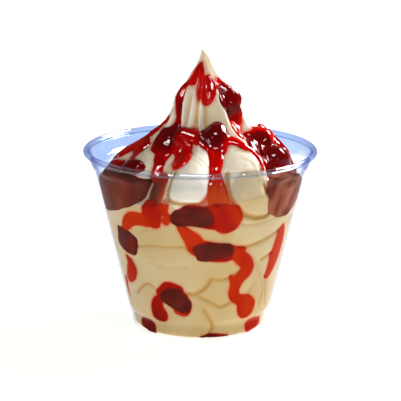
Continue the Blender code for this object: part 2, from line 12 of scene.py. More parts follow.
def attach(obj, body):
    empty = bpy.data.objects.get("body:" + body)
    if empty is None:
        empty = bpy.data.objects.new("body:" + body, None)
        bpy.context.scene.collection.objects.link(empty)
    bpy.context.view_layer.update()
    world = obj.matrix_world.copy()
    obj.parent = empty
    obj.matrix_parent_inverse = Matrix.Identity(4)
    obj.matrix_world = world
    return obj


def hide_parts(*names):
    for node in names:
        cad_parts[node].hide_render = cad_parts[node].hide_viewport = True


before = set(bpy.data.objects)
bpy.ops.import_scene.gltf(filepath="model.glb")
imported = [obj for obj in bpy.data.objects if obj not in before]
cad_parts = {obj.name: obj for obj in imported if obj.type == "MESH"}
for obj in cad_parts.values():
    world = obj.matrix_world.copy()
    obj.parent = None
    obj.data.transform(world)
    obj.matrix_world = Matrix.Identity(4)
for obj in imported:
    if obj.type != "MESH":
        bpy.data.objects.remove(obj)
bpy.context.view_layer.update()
mm = 0.001
tiny = 1e-9
print("stage: frame loaded")

# ---- the cup's form

cup = {
    "inside": (
        (0.0, 2.6), (17.7, 2.6), (21.3, 0.6), (24.5, 0.6), (25.55, 1.6), (25.75, 5.0),
        (26.45, 6.4), (27.6, 7.8), (41.0, 63.4), (42.4, 65.1), (42.85, 68.3), (43.05, 69.37),
    ),
    "outside": (
        (43.45, 68.3), (43.0, 64.9), (42.1, 63.7), (41.6, 63.2), (28.2, 7.6), (27.85, 6.7),
        (27.05, 5.8), (26.35, 5.0), (26.35, 1.4), (25.95, 0.4), (24.9, 0.0), (21.5, 0.0),
        (17.9, 2.0), (0.0, 2.0),
    ),
    "beadMiddle": (44.84, 69.81),
    "beadRadius": 1.16,
    "beadArc": (150.0, -150.0),
    "beadPoints": 26,
    "sideStartsAt": 23.9,  # the inside counts as wall from this radius outwards
    "longestRun": 2.5,  # longer straight runs of the section are cut to this
    "roundCut": 0.55,  # how much of each corner is rounded
    "cutShare": 0.45,  # of a short side, at most
    "cornerSteps": (0.0, 0.33, 0.67, 1.0),
    "columns": 264,
    "rimHeight": 71.0,
    "emptyAt": (1.6, 7.0),  # distances to the food at which the wall starts to look empty, and is
    "rearAt": (-6.0, 14.0),  # the rear wall's bluer look starts and is full this far along Y
    "besideAt": (48.0, 72.0),  # and the side wall's at these angles
    "frontTint": 0.1,  # how blue the empty wall is at the front, against 1 at the rear
    "sideTint": 0.75,
    "beadAt": (1.9, 1.3),  # distances to the bead's middle where its look starts and is full
}

# ---- the swirl's form, as in the part's source

swirl = {
    "peak": 110.4,
    # height, radius of the crests, lean of the axis to +X
    "envelope": (
        (50.0, 43.0, 0.0), (56.0, 41.0, 0.1), (60.8, 38.9, 0.5), (65.4, 36.4, 1.3),
        (68.6, 34.0, 1.9), (71.4, 30.4, 3.0), (74.2, 26.6, 3.7), (77.5, 23.2, 3.7),
        (80.0, 19.7, 3.2), (82.0, 17.3, 2.8), (85.0, 15.2, 2.4), (88.3, 13.7, 2.1),
        (91.5, 12.3, 1.9), (94.6, 10.0, 1.6), (97.8, 7.1, 1.6), (101.0, 5.2, 1.3),
        (104.2, 3.2, 1.4), (107.4, 1.8, 1.4), (109.0, 1.0, 1.1), (110.4, 0.3, 0.5),
    ),
    "valleyDepth": (
        (50.0, 0.0), (57.0, 0.09), (64.0, 0.18), (72.0, 0.25), (80.0, 0.28), (90.0, 0.3),
        (100.0, 0.3), (110.4, 0.3),
    ),
    "ridgeHeights": (66.0, 82.0, 98.0),
    # crest, valley to its right and strength of each ridge at those heights
    "ridges": (
        ((-33, -38, -56), (-31, -33, -41), (0.0, 0.8, 0.9)),
        ((-29, -28, -26), (-26, -21, -17), (0.0, 0.9, 1.0)),
        ((-9, -12, -8), (8, -1, 0), (1.0, 0.75, 0.7)),
        ((35, 33, 31), (50, 50, 52), (1.0, 1.0, 1.0)),
        ((68, 66, 74), (87, 88, 92), (0.9, 0.9, 1.0)),
        ((106, 108, 112), (127, 128, 130), (1.0, 1.0, 0.9)),
        ((148, 148, 150), (168, 167, 168), (0.9, 1.0, 1.0)),
        ((188, 187, 186), (207, 206, 204), (1.0, 0.9, 0.9)),
        ((228, 225, 222), (247, 243, 240), (0.95, 1.0, 1.0)),
        ((268, 262, 258), (288, 280, 274), (0.9, 0.9, 0.9)),
        ((313, 294, 283), (321, 313, 293), (1.0, 1.0, 0.9)),
    ),
    "roundBelow": 70.0,
    "sharpAbove": 84.0,
    "lobePower": 0.62,
    "finPower": 1.35,
    # angle, half width and height of the bulges of the lobes over their feet
    "bulges": ((-9.0, 20.0, 1.6), (32.0, 22.0, 2.0), (190.0, 30.0, 1.5)),
    "bulgeHeight": 71.0,
    "bulgeSpread": 5.0,
    "reachIntoWall": 0.06,
    "columns": 480,
    "rows": 196,
    "fineRows": 2000,  # to measure along its slope
    "lowest": 0.7,
    # radius and height of the underside, from the middle out to the foot of its side
    "underside": ((9.0, 2.6), (17.7, 2.6), (19.6, 1.6), (21.3, 0.6), (24.2, 0.6)),
    "tipAbove": 0.05,
    # size, rate, count and seed of the waves that make slow swells and small ripples
    "swell": (0.32, 0.35, 7, 5),
    "ripple": (0.07, 1.3, 9, 6),
    "smoothAt": (108.0, 84.0),  # heights between which they grow from nothing
    "pressedAt": (-0.8, 0.4),  # how far beyond the wall a point would be that looks pressed
    "creaseFrees": 3.0,  # and how many times its depth a crease takes off that
    # the look of its skin, each part of it with where it starts and where it is full; its valleys
    # and creases get tan painted shade and its crests a painted highlight
    "window": (16, 7),  # columns and rows around a point; how far a point stands off their mean gives the valleys' painted shade and the crests' painted highlight
    # how far below that mean the valleys' tan painted shade starts and is full
    "valleyShadeAt": (-0.1, -1.7),
    # how far above that mean the crests' painted highlight starts and is full
    "crestHighlightAt": (0.4, 1.2),
    "crestHighlightFrom": (68.0, 76.0),  # the crests' painted highlight shows above these heights
    "crestHighlightTo": (104.0, 97.0),  # and below these
    "creaseShadeAt": (0.2, 0.75),  # depths of a crease over which its painted shade starts and is full
    "stainAt": (-1.5, 0.1),  # distances inside the sauce's outline
    "stainShare": 0.8,
    "paleFirmness": 1.5,
    "paleAt": (-0.6, 0.8),  # distances inside the outline of a pale lobe, the tan lobe or a strip of painted shade
    "paleShare": 0.95,  # how much of its tan a pale lobe loses
    "paleLobeHighlight": 0.7,  # and how much of the crests' painted highlight it takes on
}


def smoothStep(low, high, value):
    share = np.clip((value - low) / (high - low), 0.0, 1.0)
    return share * share * (3.0 - 2.0 * share)


# the angle brought between -180 and 180
def turned(angle):
    return (angle + 180.0) % 360.0 - 180.0


def readTable(rows, column, height):
    values = np.array(rows)
    return np.interp(height, values[:, 0], values[:, column])


# radius of the cup's inside at a height, along the points of its section
def wallInside(height):
    side = np.array([point for point in cup["inside"] if point[0] > cup["sideStartsAt"]])
    return np.interp(height, side[:, 1], side[:, 0])


# 0 in a valley and 1 on a crest: between them the share of the way is raised to a power for
# a sharp fin, or its sine to a power below 1 for a round lobe
def ridgeHeight(angle, height):
    total = np.zeros(np.broadcast(angle, height).shape)
    sharp = smoothStep(swirl["roundBelow"], swirl["sharpAbove"], height)
    levels = swirl["ridgeHeights"]
    ridges = swirl["ridges"]
    for index, (crests, valleys, strengths) in enumerate(ridges):
        crest = np.interp(height, levels, crests)
        right = turned(np.interp(height, levels, valleys) - crest)
        left = turned(crest - np.interp(height, levels, ridges[index - 1][1]))
        strength = np.interp(height, levels, strengths)
        offset = turned(angle - crest)
        share = np.clip(np.where(offset < 0, 1.0 + offset / left, 1.0 - offset / right), 0.0, 1.0)
        lobe = np.sin(share * math.pi / 2.0) ** swirl["lobePower"]
        total = total + strength * (share ** swirl["finPower"] * sharp + lobe * (1.0 - sharp))
    return total


# envelope radius, less the valleys' depth where there is no ridge, plus gaussian bulges
def swirlRadius(angle, height):
    depth = readTable(swirl["valleyDepth"], 1, height)
    radius = readTable(swirl["envelope"], 1, height)
    radius = radius * (1.0 - depth * (1.0 - ridgeHeight(angle, height)))
    for middle, halfWidth, amount in swirl["bulges"]:
        across = turned(angle - middle) / halfWidth
        up = (height - swirl["bulgeHeight"]) / swirl["bulgeSpread"]
        radius = radius + amount * np.exp(-(across**2) - up**2)
    return radius


# the mean of a few sine waves through space, each with its own direction and phase
def waves(points, seed, rate, count):
    draw = np.random.default_rng(seed)
    directions = draw.normal(size=(count, 3)) * rate
    phases = draw.uniform(0.0, math.tau, count)
    return np.sin(points @ directions.T + phases).mean(axis=-1) * math.sqrt(count)


def unevenness(points, size, rate, count, seed):
    return size * waves(points, seed, rate, count)


# free points of the swirl round its leaning axis, before the wall holds them
def freePoints(angle, height):
    turn = np.radians(angle)
    radius = swirlRadius(angle, height)
    x = readTable(swirl["envelope"], 2, height) + radius * np.sin(turn)
    return np.stack([x, -radius * np.cos(turn), height + 0.0 * x], axis=-1)


# points beyond the wall's inside plus a margin come back to it, straight towards the axis
def heldInWall(points, margin):
    reach = np.hypot(points[..., 0], points[..., 1])
    share = np.minimum(reach, wallInside(points[..., 2]) + margin) / np.maximum(reach, tiny)
    return points * np.stack([share, share, np.ones_like(share)], axis=-1)


# heights that stand evenly along the envelope's slope
def evenHeights(low, high, count):
    fine = np.linspace(low, high, swirl["fineRows"])
    radius = np.minimum(readTable(swirl["envelope"], 1, fine), wallInside(fine))
    run = np.hypot(np.diff(radius), np.diff(fine))
    along = np.concatenate([[0.0], np.cumsum(run)])
    return np.interp(np.linspace(0.0, along[-1], count), along, fine)


# ---- strokes: paths on the food, each knot an angle, a height and a half width

pathSteps = 7
strokeReach = 3.0  # a stroke has no effect further than this from its outline
farOff = 9.0  # stands for any distance that is out of reach


# a Catmull-Rom curve through the knots
def smoothPath(knots):
    knots = np.array(knots, float)
    if len(knots) < 3:
        share = np.linspace(0.0, 1.0, pathSteps + 1)[:, None]
        return knots[0] * (1.0 - share) + knots[-1] * share
    ends = np.vstack([2 * knots[0] - knots[1], knots, 2 * knots[-1] - knots[-2]])
    share = np.linspace(0.0, 1.0, pathSteps, endpoint=False)[:, None]
    parts = []
    for i in range(1, len(knots)):
        a, b, c, d = ends[i - 1], ends[i], ends[i + 1], ends[i + 2]
        parts.append(
            b
            + (c - a) * share / 2
            + (2 * a - 5 * b + 4 * c - d) * share**2 / 2
            + (3 * b - a - 3 * c + d) * share**3 / 2
        )
    return np.vstack(parts + [knots[-1:]])


# a curve's places on the food, and which of the points are within reach of them
def onFood(curve, points, reach):
    places = heldInWall(freePoints(curve[:, 0], curve[:, 1]), 0.0)
    low = places.min(axis=0) - reach
    high = places.max(axis=0) + reach
    return places, ((points > low) & (points < high)).all(axis=-1)


# for each short run between places: the run, how far along it each point stands and the way
# from it to the point
def besideRuns(places, points):
    for start, end in zip(places[:-1], places[1:]):
        run = end - start
        share = np.clip((points - start) @ run / max(run @ run, tiny), 0.0, 1.0)
        yield run, share, points - start - share[:, None] * run


# how far inside a stroke each point lies: the half width there less the distance to the path
def strokeInside(points, knots):
    curve = smoothPath(knots)
    places, near = onFood(curve, points, curve[:, 2].max() + strokeReach)
    inside = np.full(points.shape[:-1], -farOff)
    best = inside[near]
    for i, (_, share, away) in enumerate(besideRuns(places, points[near])):
        width = curve[i, 2] + (curve[i + 1, 2] - curve[i, 2]) * share
        best = np.maximum(best, width - np.linalg.norm(away, axis=-1))
    inside[near] = best
    return inside


# strokes flow together by a smooth maximum: (1 / k) log sum exp(k inside), and what each
# stroke carries, such as its darkness, is averaged by the same weights
def blendStrokes(points, strokes, firmness):
    total = np.full(points.shape[:-1], tiny)
    sums = [np.zeros(points.shape[:-1]) for _ in strokes[0][:-1]]
    for stroke in strokes:
        weight = np.exp(firmness * strokeInside(points, stroke[-1]))
        total = total + weight
        sums = [s + weight * value for s, value in zip(sums, stroke[:-1])]
    return np.log(total) / firmness, [s / total for s in sums]


# ---- sauce: thickness in mm, darkness from 0 to 1, then the knots

topSauce = {
    "firmness": 2.2,  # how sharply its strokes meet
    "edge": 2.2,  # how far in from its outline the sauce reaches its full thickness
    "columns": 470,
    "rows": 186,
    "from": 57.0,
    "to": 109.6,
    "proud": 0.1,  # it lies this far beyond the inside of the wall
    "skin": 0.55,  # how deep its hidden back lies
    "wider": 0.3,  # how much wider than drawn it has spread
    "mottle": (0.12, 0.42, 6, 12),  # size, rate, count and seed of the waves in how dark it is
    "tuck": 0.3,  # how far inside a berry's foot the sauce ends where nothing else is poured
    "fill": (10, 4),  # columns and rows over which the skin is smoothed under the sauce
    "fillShare": 0.85,
    "ridgeShare": 0.9,  # how much of a ridge still stands out of that
    "berryFade": (-1.4, 1.3),  # the way in from a berry's foot over which it darkens
    "freeFrom": 68.5,  # what touches the wall above this height is still bright
    "strokes": (
        # the sheet under the tip and the drip at the front
        (0.6, 0.3, ((-31, 105, 0.5), (-33, 103.1, 1.2), (-40, 100.8, 1.8), (-51, 98.9, 1.7),
            (-67, 97, 1))),
        (0.6, 0.2, ((-21, 102.1, 0.7), (-17, 99.7, 1), (-5, 98.2, 1))),
        (0.8, 0.3, ((-5, 98.4, 0.9), (6, 97, 2.4), (5, 95.4, 3.4), (3, 92.8, 2.9))),
        (0.7, 0.3, ((19, 100, 0.6), (13, 98.2, 1.8), (6, 95.4, 3.2))),
        (0.6, 0.1, ((19, 97.6, 0.7), (40, 96.6, 0.8), (65, 97.6, 1.6), (69, 96.4, 0.9))),
        # the strip down the left and the dark heap at its foot
        (0.8, 0.55, ((-69, 97, 0.9), (-70, 94.7, 1.8), (-67, 91.7, 2), (-62, 88.4, 2),
            (-55, 85.2, 2), (-53, 83.1, 2))),
        (0.9, 0.75, ((-53, 81.5, 1.8), (-54, 78, 2.5), (-53, 74.7, 2.7), (-44, 73, 2.6))),
        (0.9, 0.3, ((-45, 77, 2), (-22, 79.6, 2), (-12, 78.5, 1.8), (-4, 76.4, 1.8))),
        (0.9, 0.25, ((-31, 77.5, 2.2), (-25, 75, 2.2))),
        (1.1, 0.25, ((-36, 75.8, 3), (-31, 75, 2.8), (-25, 73.2, 3), (-22, 72, 3.5),
            (-21.5, 70.9, 3.7))),
        (1, 0.35, ((-44, 72.4, 2.4), (-42, 70.2, 2.2), (-39, 67.6, 2.1), (-36, 64.8, 2.2),
            (-30, 63.5, 2.8), (-28.5, 60.5, 3), (-28, 57.2, 2.6))),
        # the centre run and the band to its right
        (1.2, 0.35, ((10, 78, 4), (8, 75.3, 3.7), (6, 73.6, 3.1), (7, 70.7, 2.5), (8, 67.1, 2.5),
            (9, 63.7, 3.2), (10.5, 58, 3.8))),
        (0.9, 0.15, ((16, 78.3, 2.5), (26, 77.9, 1.7), (32, 76.6, 1.4), (37, 75, 1.1),
            (39, 72.5, 0.7), (39, 68.9, 0.5))),
        # the dark run down the right, the hump and the heap over the rim
        (0.7, 0.2, ((58, 96.2, 1.2), (70, 94.6, 1.8))),
        (1, 0.85, ((74, 93.3, 3), (72, 89.5, 3.2), (61, 86.4, 2.5))),
        (0.9, 0.2, ((60, 85.9, 2.5), (55, 82.9, 2.6), (45, 80.6, 2.5), (41, 79, 2.1))),
        (1, 0.15, ((56, 78.5, 1.3), (76, 78.8, 2.5), (95, 77.3, 1.8))),
        (0.7, 0.2, ((100, 77.8, 0.7), (101, 76.2, 0.9), (99, 74.1, 0.7), (96, 72.9, 0.5))),
        (0.9, 0.8, ((60, 75.5, 1.2), (64, 73.5, 2.2), (55, 72.3, 3.2), (66, 69.4, 3.2),
            (72, 67.4, 2.4))),
        (0.9, 0.7, ((42, 71.2, 1.6), (53, 68.6, 2.4))),
        # the far left
        (0.8, 0.35, ((-94, 82.6, 0.5), (-93, 79, 0.8), (-92, 75.6, 1.5), (-88, 72.4, 2.2),
            (-88, 69, 2.2))),
        (0.9, 0.4, ((-83, 73, 2), (-78, 70.6, 2.3), (-70, 68.6, 2.4), (-61, 68, 2))),
        (0.8, 0.3, ((-92, 74, 2), (-92, 70.2, 2), (-91, 68.5, 2), (-94, 66.1, 1.2))),
        # round the foot of the mound
        (0.8, 0.6, ((-90, 62, 4.2), (-76, 63, 4.8), (-60, 62.5, 4.6), (-45, 61.5, 4.2))),
        (0.8, 0.5, ((48, 61, 3.8), (60, 63, 4.6), (74, 63.5, 4.8), (90, 63, 4.2))),
        # the unseen back, poured in the same way
        (0.8, 0.4, ((124, 96, 1.6), (128, 92, 2.4), (130, 84, 2.6), (126, 76.5, 2.8))),
        (1, 0.5, ((150, 84, 2.6), (166, 78, 3), (168, 70, 3.2), (168, 61, 3))),
        (0.8, 0.4, ((190, 99, 1.6), (205, 91, 2.4), (206, 81, 2.6), (210, 74, 2.8))),
        (1, 0.5, ((206, 76, 2.6), (224, 72, 3.2), (242, 68, 3.2), (246, 60, 2.8))),
        (0.8, 0.3, ((238, 96, 1.2), (240, 93, 1.8), (244, 84, 2.2), (250, 77.5, 2.4))),
        (0.7, 0.3, ((128, 84, 2), (140, 82, 1.8), (152, 84, 2))),
        (0.9, 0.5, ((104, 78, 2), (98, 72.5, 2.8), (92, 66.5, 2.6))),
    ),
}

wallSauce = {
    "firmness": 2.6,
    "edge": 1.1,
    "columns": 640,
    "rows": 210,
    "from": 0.75,
    "to": 57.0,
    "proud": 0.12,
    "skin": 0.5,
    "wider": 0.25,
    "mottle": (0.1, 0.42, 6, 12),
    "tuck": 1.2,
    "fill": (2, 1),
    "fillShare": 0.0,
    "ridgeShare": 0.0,
    "berryFade": (-0.9, 0.7),
    "freeFrom": 200.0,
    "strokes": (
        (0.9, 0.4, ((-29.8, 57, 2.6), (-29.2, 53.3, 3.8), (-28.4, 50.4, 3.3), (-27.3, 49.3, 2.4))),
        (0.9, 0, ((-33.8, 48.3, 1.6), (-35.7, 49.5, 2.4), (-44.5, 48.9, 2.6), (-51.2, 45.4, 2),
            (-53.7, 42.5, 1.4))),
        (0.8, 0.2, ((-21, 57.2, 1.8), (-20.3, 53.1, 1))),
        (0.6, 0.1, ((-20.2, 49.8, 1.4), (-17.4, 52.1, 1))),
        (0.9, 0.6, ((-14.5, 50.9, 1.2), (-9.1, 52.7, 3.2), (-2.8, 53, 4.2), (3.6, 51.8, 3.8),
            (6.5, 50.1, 2.4))),
        (1, 0.35, ((9, 58.5, 3.4), (12.5, 55.3, 4.7), (16.4, 52.1, 5.7), (15.4, 50.6, 5.1))),
        (0.8, 0.3, ((10.5, 59.6, 4), (3.9, 57.6, 2))),
        (0.8, 0.1, ((-11.8, 47.8, 1), (-8.3, 45.8, 2.2), (-4.1, 42.9, 3.2), (-1.7, 39.6, 3.2))),
        (0.9, 0.6, ((-3.5, 40, 2.4), (2.7, 38.8, 3.6), (9.2, 37.8, 4), (15.7, 37.2, 3.8),
            (19.8, 37, 2.8))),
        (0.9, 0.2, ((21.7, 37.7, 2), (27.3, 34.8, 2.6), (32.7, 31.8, 2.8), (34, 28.7, 2.7),
            (30.3, 26.1, 2.2), (26.9, 23.4, 2.2), (25.7, 20, 2.1), (28.5, 17.2, 2),
            (35.4, 15.4, 2.8), (39.4, 12.7, 4.2), (39.5, 11.2, 3.4))),
        (0.6, 0.1, ((23.8, 38, 1.2), (30.2, 38.2, 0.5))),
        (0.4, 0, ((22.3, 26.6, 0.8), (23.5, 24.9, 0.8))),
        (0.8, 0.5, ((-55.3, 40.6, 2.4), (-52.5, 37.7, 2.8), (-52.5, 35.6, 1.8))),
        (0.7, 0.3, ((-52.2, 38.2, 2), (-45.2, 38.2, 0.8))),
        (0.8, 0.2, ((-57.7, 31.2, 0.9), (-55.2, 28.2, 2), (-56.6, 25, 2.9), (-61.7, 22.2, 2))),
        (0.5, 0.1, ((-69.4, 20.3, 1.3), (-71.4, 16.3, 0.8), (-70.3, 13.5, 0.5))),
        (0.8, 0.5, ((-24.5, 19.5, 2.2), (-19.9, 18.1, 3.6), (-14, 15.8, 3.8), (-11.9, 13.3, 2.6))),
        (0.5, 0.5, ((-28.7, 19.2, 2.2), (-22.3, 22.2, 2.2), (-15.6, 21.5, 1.8))),
        (0.8, 0.5, ((-33, 15.6, 2), (-34.5, 12.6, 2.7), (-33.1, 9.8, 3.5))),
        (0.6, 0.1, ((-16.7, 12.6, 1.6), (-12, 12, 1.6))),
        (0.7, 0.8, ((-58, 3.4, 1.8), (-49, 2.6, 3.4))),
        (0.7, 0.4, ((51.4, 3.5, 3.2), (62.3, 3.9, 2))),
        (0.3, 0.97, ((3, 0.9, 0.9), (14, 1, 1.3), (25, 0.9, 0.8))),
        (0.8, 0, ((63, 42.5, 2.2), (63, 37, 4), (62, 32, 4), (59.5, 27.5, 3), (57, 24.2, 1.4))),
        # the unseen back
        (0.9, 0.4, ((92, 52, 2.6), (98, 47, 3.4), (106, 43.5, 4), (114, 40, 2.6), (116, 35, 1.8))),
        (0.8, 0.2, ((116, 35, 1.8), (124, 31, 2.2), (134, 28.5, 3), (143, 25, 3.4), (146, 20, 2),
            (142, 15, 2.4))),
        (0.9, 0.3, ((168, 57, 3.2), (172, 48, 2.8), (180, 40, 2.6), (186, 35, 3.6),
            (194, 33, 2.4))),
        (0.8, 0.2, ((196, 30, 1.6), (200, 24, 2.2), (206, 17, 1.8), (205, 10.5, 3.2))),
        (0.9, 0.3, ((246, 57, 3), (243, 50, 2.6), (236, 42, 2), (236, 33, 2.4), (238, 27, 3.4),
            (246, 22, 2.2))),
        (0.8, 0.3, ((258, 50.5, 2.4), (264, 46.5, 3.2), (270, 42, 1.6))),
        (0.7, 0.2, ((246, 22, 1.8), (256, 17, 1.4), (262, 10, 1.8))),
    ),
}

# ---- creases behind the wall and folds above it

creases = {
    "depth": 1.2,  # all their depths are multiplied by this
    "power": 1.4,
    "reach": 4.0,  # how many times its softness a crease reaches
    # depth, softness to the left and to the right of the path in mm, and its knots, each an
    # angle and a height
    "paths": (
        (1.1, 0.9, 0.8, ((-20.3, 68.1), (-21.2, 63.1), (-19.4, 59.1), (-12.2, 57.7), (0.1, 57.8),
            (4.9, 61.3), (4.9, 67.9))),
        (1.2, 1.1, 0.8, ((15.3, 67.6), (16.5, 61.4), (19.4, 56.7), (25.6, 53), (34.2, 50.6),
            (41.8, 50.4), (45.4, 51.8), (44.2, 56.9), (40, 62.4))),
        (0.58, 0.5, 1.2, ((-49.9, 36.6), (-31.6, 39.3), (-21.7, 39.2), (-8.6, 40.1))),
        (0.79, 0.5, 1.5, ((24.9, 39.4), (32.5, 39.4), (44.6, 40.7), (60.4, 43.2), (74, 46))),
        (0.79, 0.5, 1.4, ((46.5, 32.5), (54.5, 33.6), (58.5, 35.2), (66, 38))),
        (0.86, 0.5, 1.5, ((8, 25.9), (4, 22.1), (-3.2, 19.5), (-9, 19.6))),
        (0.72, 1.2, 0.5, ((-3.2, 19.5), (6.1, 16.9), (16, 14.1), (23.6, 15.2))),
        (0.72, 0.5, 1.4, ((4.7, 22.8), (8.7, 26.6), (14.4, 26), (21.2, 26.7), (28, 29))),
        (0.79, 1.2, 0.5, ((2.9, 12.9), (10, 7.1), (10.6, 4.4), (6.3, 1.3))),
        (0.65, 0.5, 1.4, ((-55.5, 16.7), (-48.6, 19.8), (-41.2, 22.3), (-35.8, 21.5))),
        (0.65, 1.1, 0.5, ((53.3, 24.1), (58.2, 19.9), (64.1, 11))),
        (0.43, 0.6, 1.1, ((14.5, 53.2), (26.4, 48.7), (40.1, 48.3), (56.1, 49.6))),
        (0.43, 0.5, 1, ((-47.3, 44.2), (-36.9, 45), (-24.4, 47))),
        (0.5, 0.5, 1.2, ((-58, 30.7), (-53, 31.4), (-50, 30.1), (-48.8, 26))),
        (0.5, 1.2, 0.5, ((40.4, 31.5), (47, 25.3), (54.9, 18), (53.2, 12.7))),
        (0.35, 0.6, 1.4, ((-35.2, 31.8), (-20.2, 30.5), (-9, 31.8))),
        (0.45, 0.5, 1.2, ((30.5, 16.2), (37.5, 17.3), (41.6, 21.6))),
        # folds on the free lobes at the front
        (0.36, 0.9, 0.5, ((-24, 75.7), (-16, 75.5), (-8, 74.4), (-2, 72.2))),
        (0.36, 0.9, 0.5, ((-19, 74.3), (-12, 73.8), (-6, 72.4), (0, 70.1))),
        (0.3, 0.9, 0.5, ((-16, 72.7), (-9, 72.1), (-2, 69.9))),
        (0.4, 0.6, 1.1, ((23, 75.1), (30, 74.8), (37, 73.9), (38, 71.9), (37, 69.4), (38, 67.2))),
        (0.3, 0.6, 1.1, ((24, 73), (30, 71.7), (33, 69))),
        (0.6, 0.5, 0.5, ((-1, 88.5), (-1.5, 85), (-3, 81), (-6, 78))),
        # the unseen back
        (0.86, 0.5, 1.5, ((95, 33), (120, 38), (142, 33))),
        (0.79, 1.4, 0.5, ((150, 44), (176, 40), (198, 43))),
        (0.86, 0.5, 1.5, ((128, 22), (158, 17), (184, 23), (196, 33))),
        (0.86, 1.4, 0.5, ((205, 36), (228, 41), (252, 36))),
        (0.79, 0.5, 1.5, ((212, 12), (232, 19), (262, 22), (280, 33))),
    ),
}

# the left of the two front lobes stays pale where it touches the wall and takes on part of the
# crests' painted highlight, the right one turns tan, and two strips under the tip turn tan as
# painted shade: how pale, or below 0 how tan, and the knots
lobeTonesAndShade = (
    (1, ((-8, 70, 10), (-8, 65, 10.2), (-8, 62.5, 8), (-8, 61, 6))),
    (-0.75, ((30, 63, 7), (30, 60, 8.4), (33, 55, 5))),
    (-0.35, ((12, 93, 2), (14, 87, 4), (16, 81, 4.6))),
    (-0.3, ((8, 108, 1.4), (14, 103, 2.4), (24, 99, 2.6))),
)


# depth times exp(-(distance / softness)^power), with its own softness on each side of the path
def creaseCut(points):
    cut = np.zeros(points.shape[:-1])
    for depth, leftSoft, rightSoft, knots in creases["paths"]:
        reach = creases["reach"] * max(leftSoft, rightSoft)
        places, near = onFood(smoothPath(knots), points, reach)
        picked = points[near]
        outward = picked * (1.0, 1.0, 0.0)
        best = np.full(len(picked), np.inf)
        left = np.zeros(len(picked), bool)
        for run, _, away in besideRuns(places, picked):
            gap = np.linalg.norm(away, axis=-1)
            side = (np.cross(run, away) * outward).sum(axis=-1) > 0
            left = np.where(gap < best, side, left)
            best = np.minimum(best, gap)
        soft = np.where(left, leftSoft, rightSoft)
        fall = creases["depth"] * depth * np.exp(-((best / soft) ** creases["power"]))
        cut[near] = np.maximum(cut[near], fall)
    return cut


# the food's skin: the free swirl with slow swells and small ripples, held in the wall, with
# the creases cut inwards. It also gives how hard each point is pressed against the wall and
# how deep it is cut.
def foodSkin(angle, height):
    free = freePoints(angle, height)
    outward = free * (1.0, 1.0, 0.0)
    outward = outward / np.maximum(np.linalg.norm(outward, axis=-1, keepdims=True), tiny)
    share = smoothStep(*swirl["smoothAt"], free[..., 2])
    swell = unevenness(free, *swirl["swell"]) * share
    ripple = unevenness(free, *swirl["ripple"]) * share
    free = free + outward * (swell + ripple)[..., None]
    beyond = np.hypot(free[..., 0], free[..., 1]) - wallInside(free[..., 2])
    held = heldInWall(free, swirl["reachIntoWall"])
    cut = creaseCut(held)
    pressed = smoothStep(*swirl["pressedAt"], beyond - swirl["creaseFrees"] * cut)
    return held - outward * cut[..., None], pressed, cut


# unit normals of a grid whose rows run round the axis and close
def gridNormals(points):
    along = np.roll(points, -1, axis=1) - np.roll(points, 1, axis=1)
    normal = np.cross(along, np.gradient(points, axis=0))
    return normal / np.maximum(np.linalg.norm(normal, axis=-1, keepdims=True), tiny)


# ---- meshes


def makeMesh(name, points, faces, finish, values=None):
    mesh = bpy.data.meshes.new(name)
    mesh.from_pydata((np.asarray(points, float) * mm).tolist(), [], faces)
    mesh.materials.append(finish)
    for key, value in (values or {}).items():
        layer = mesh.attributes.new(key, "FLOAT", "POINT")
        layer.data.foreach_set("value", np.asarray(value, np.float32).ravel())
    mesh.shade_smooth()
    mesh.update()
    item = bpy.data.objects.new(name, mesh)
    bpy.context.scene.collection.objects.link(item)
    return item


# quads between the rows of a grid whose rows close
def ringQuads(rows, columns):
    first = np.arange((rows - 1) * columns).reshape(rows - 1, columns)
    after = np.roll(first, -1, axis=1)
    return np.stack([first, after, after + columns, first + columns], axis=-1).reshape(-1, 4)


# a closed stack of rings, with a fan of triangles to a pole at each end
def closedStack(rings, lowPole, highPole):
    rows, columns = rings.shape[:2]
    points = np.vstack([rings.reshape(-1, 3), [lowPole], [highPole]])
    here = np.arange(columns)
    after = np.roll(here, -1)
    low = np.full(columns, rows * columns)
    last = (rows - 1) * columns
    bottom = np.stack([low, after, here], axis=-1)
    top = np.stack([low + 1, last + here, last + after], axis=-1)
    return points, ringQuads(rows, columns).tolist() + bottom.tolist() + top.tolist()


def makePiece(name, points, faces, finish, nodes, values=None):
    item = makeMesh(name, points, faces, finish, values)
    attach(item, "root")
    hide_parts(*nodes)
    return item


# ---- shader maths


class Wire:
    # an output socket, so that maths on it reads as Python
    def __init__(self, finish, socket):
        self.finish = finish
        self.socket = socket

    def maths(self, operation, first, second):
        return self.finish.node("ShaderNodeMath", {"operation": operation}, {0: first, 1: second})

    def __add__(self, other):
        return self.maths("ADD", self, other)

    __radd__ = __add__

    def __mul__(self, other):
        return self.maths("MULTIPLY", self, other)

    __rmul__ = __mul__

    def __sub__(self, other):
        return self.maths("SUBTRACT", self, other)

    def __rsub__(self, other):
        return self.maths("SUBTRACT", other, self)

    def __pow__(self, other):
        return self.maths("POWER", self, other)

    def held(self):
        return self.finish.node("ShaderNodeClamp", {}, {0: self})

    def between(self, low, high):
        ends = {"From Min": low, "From Max": high}
        return self.finish.node(
            "ShaderNodeMapRange", {"interpolation_type": "SMOOTHSTEP"}, {"Value": self, **ends}
        )


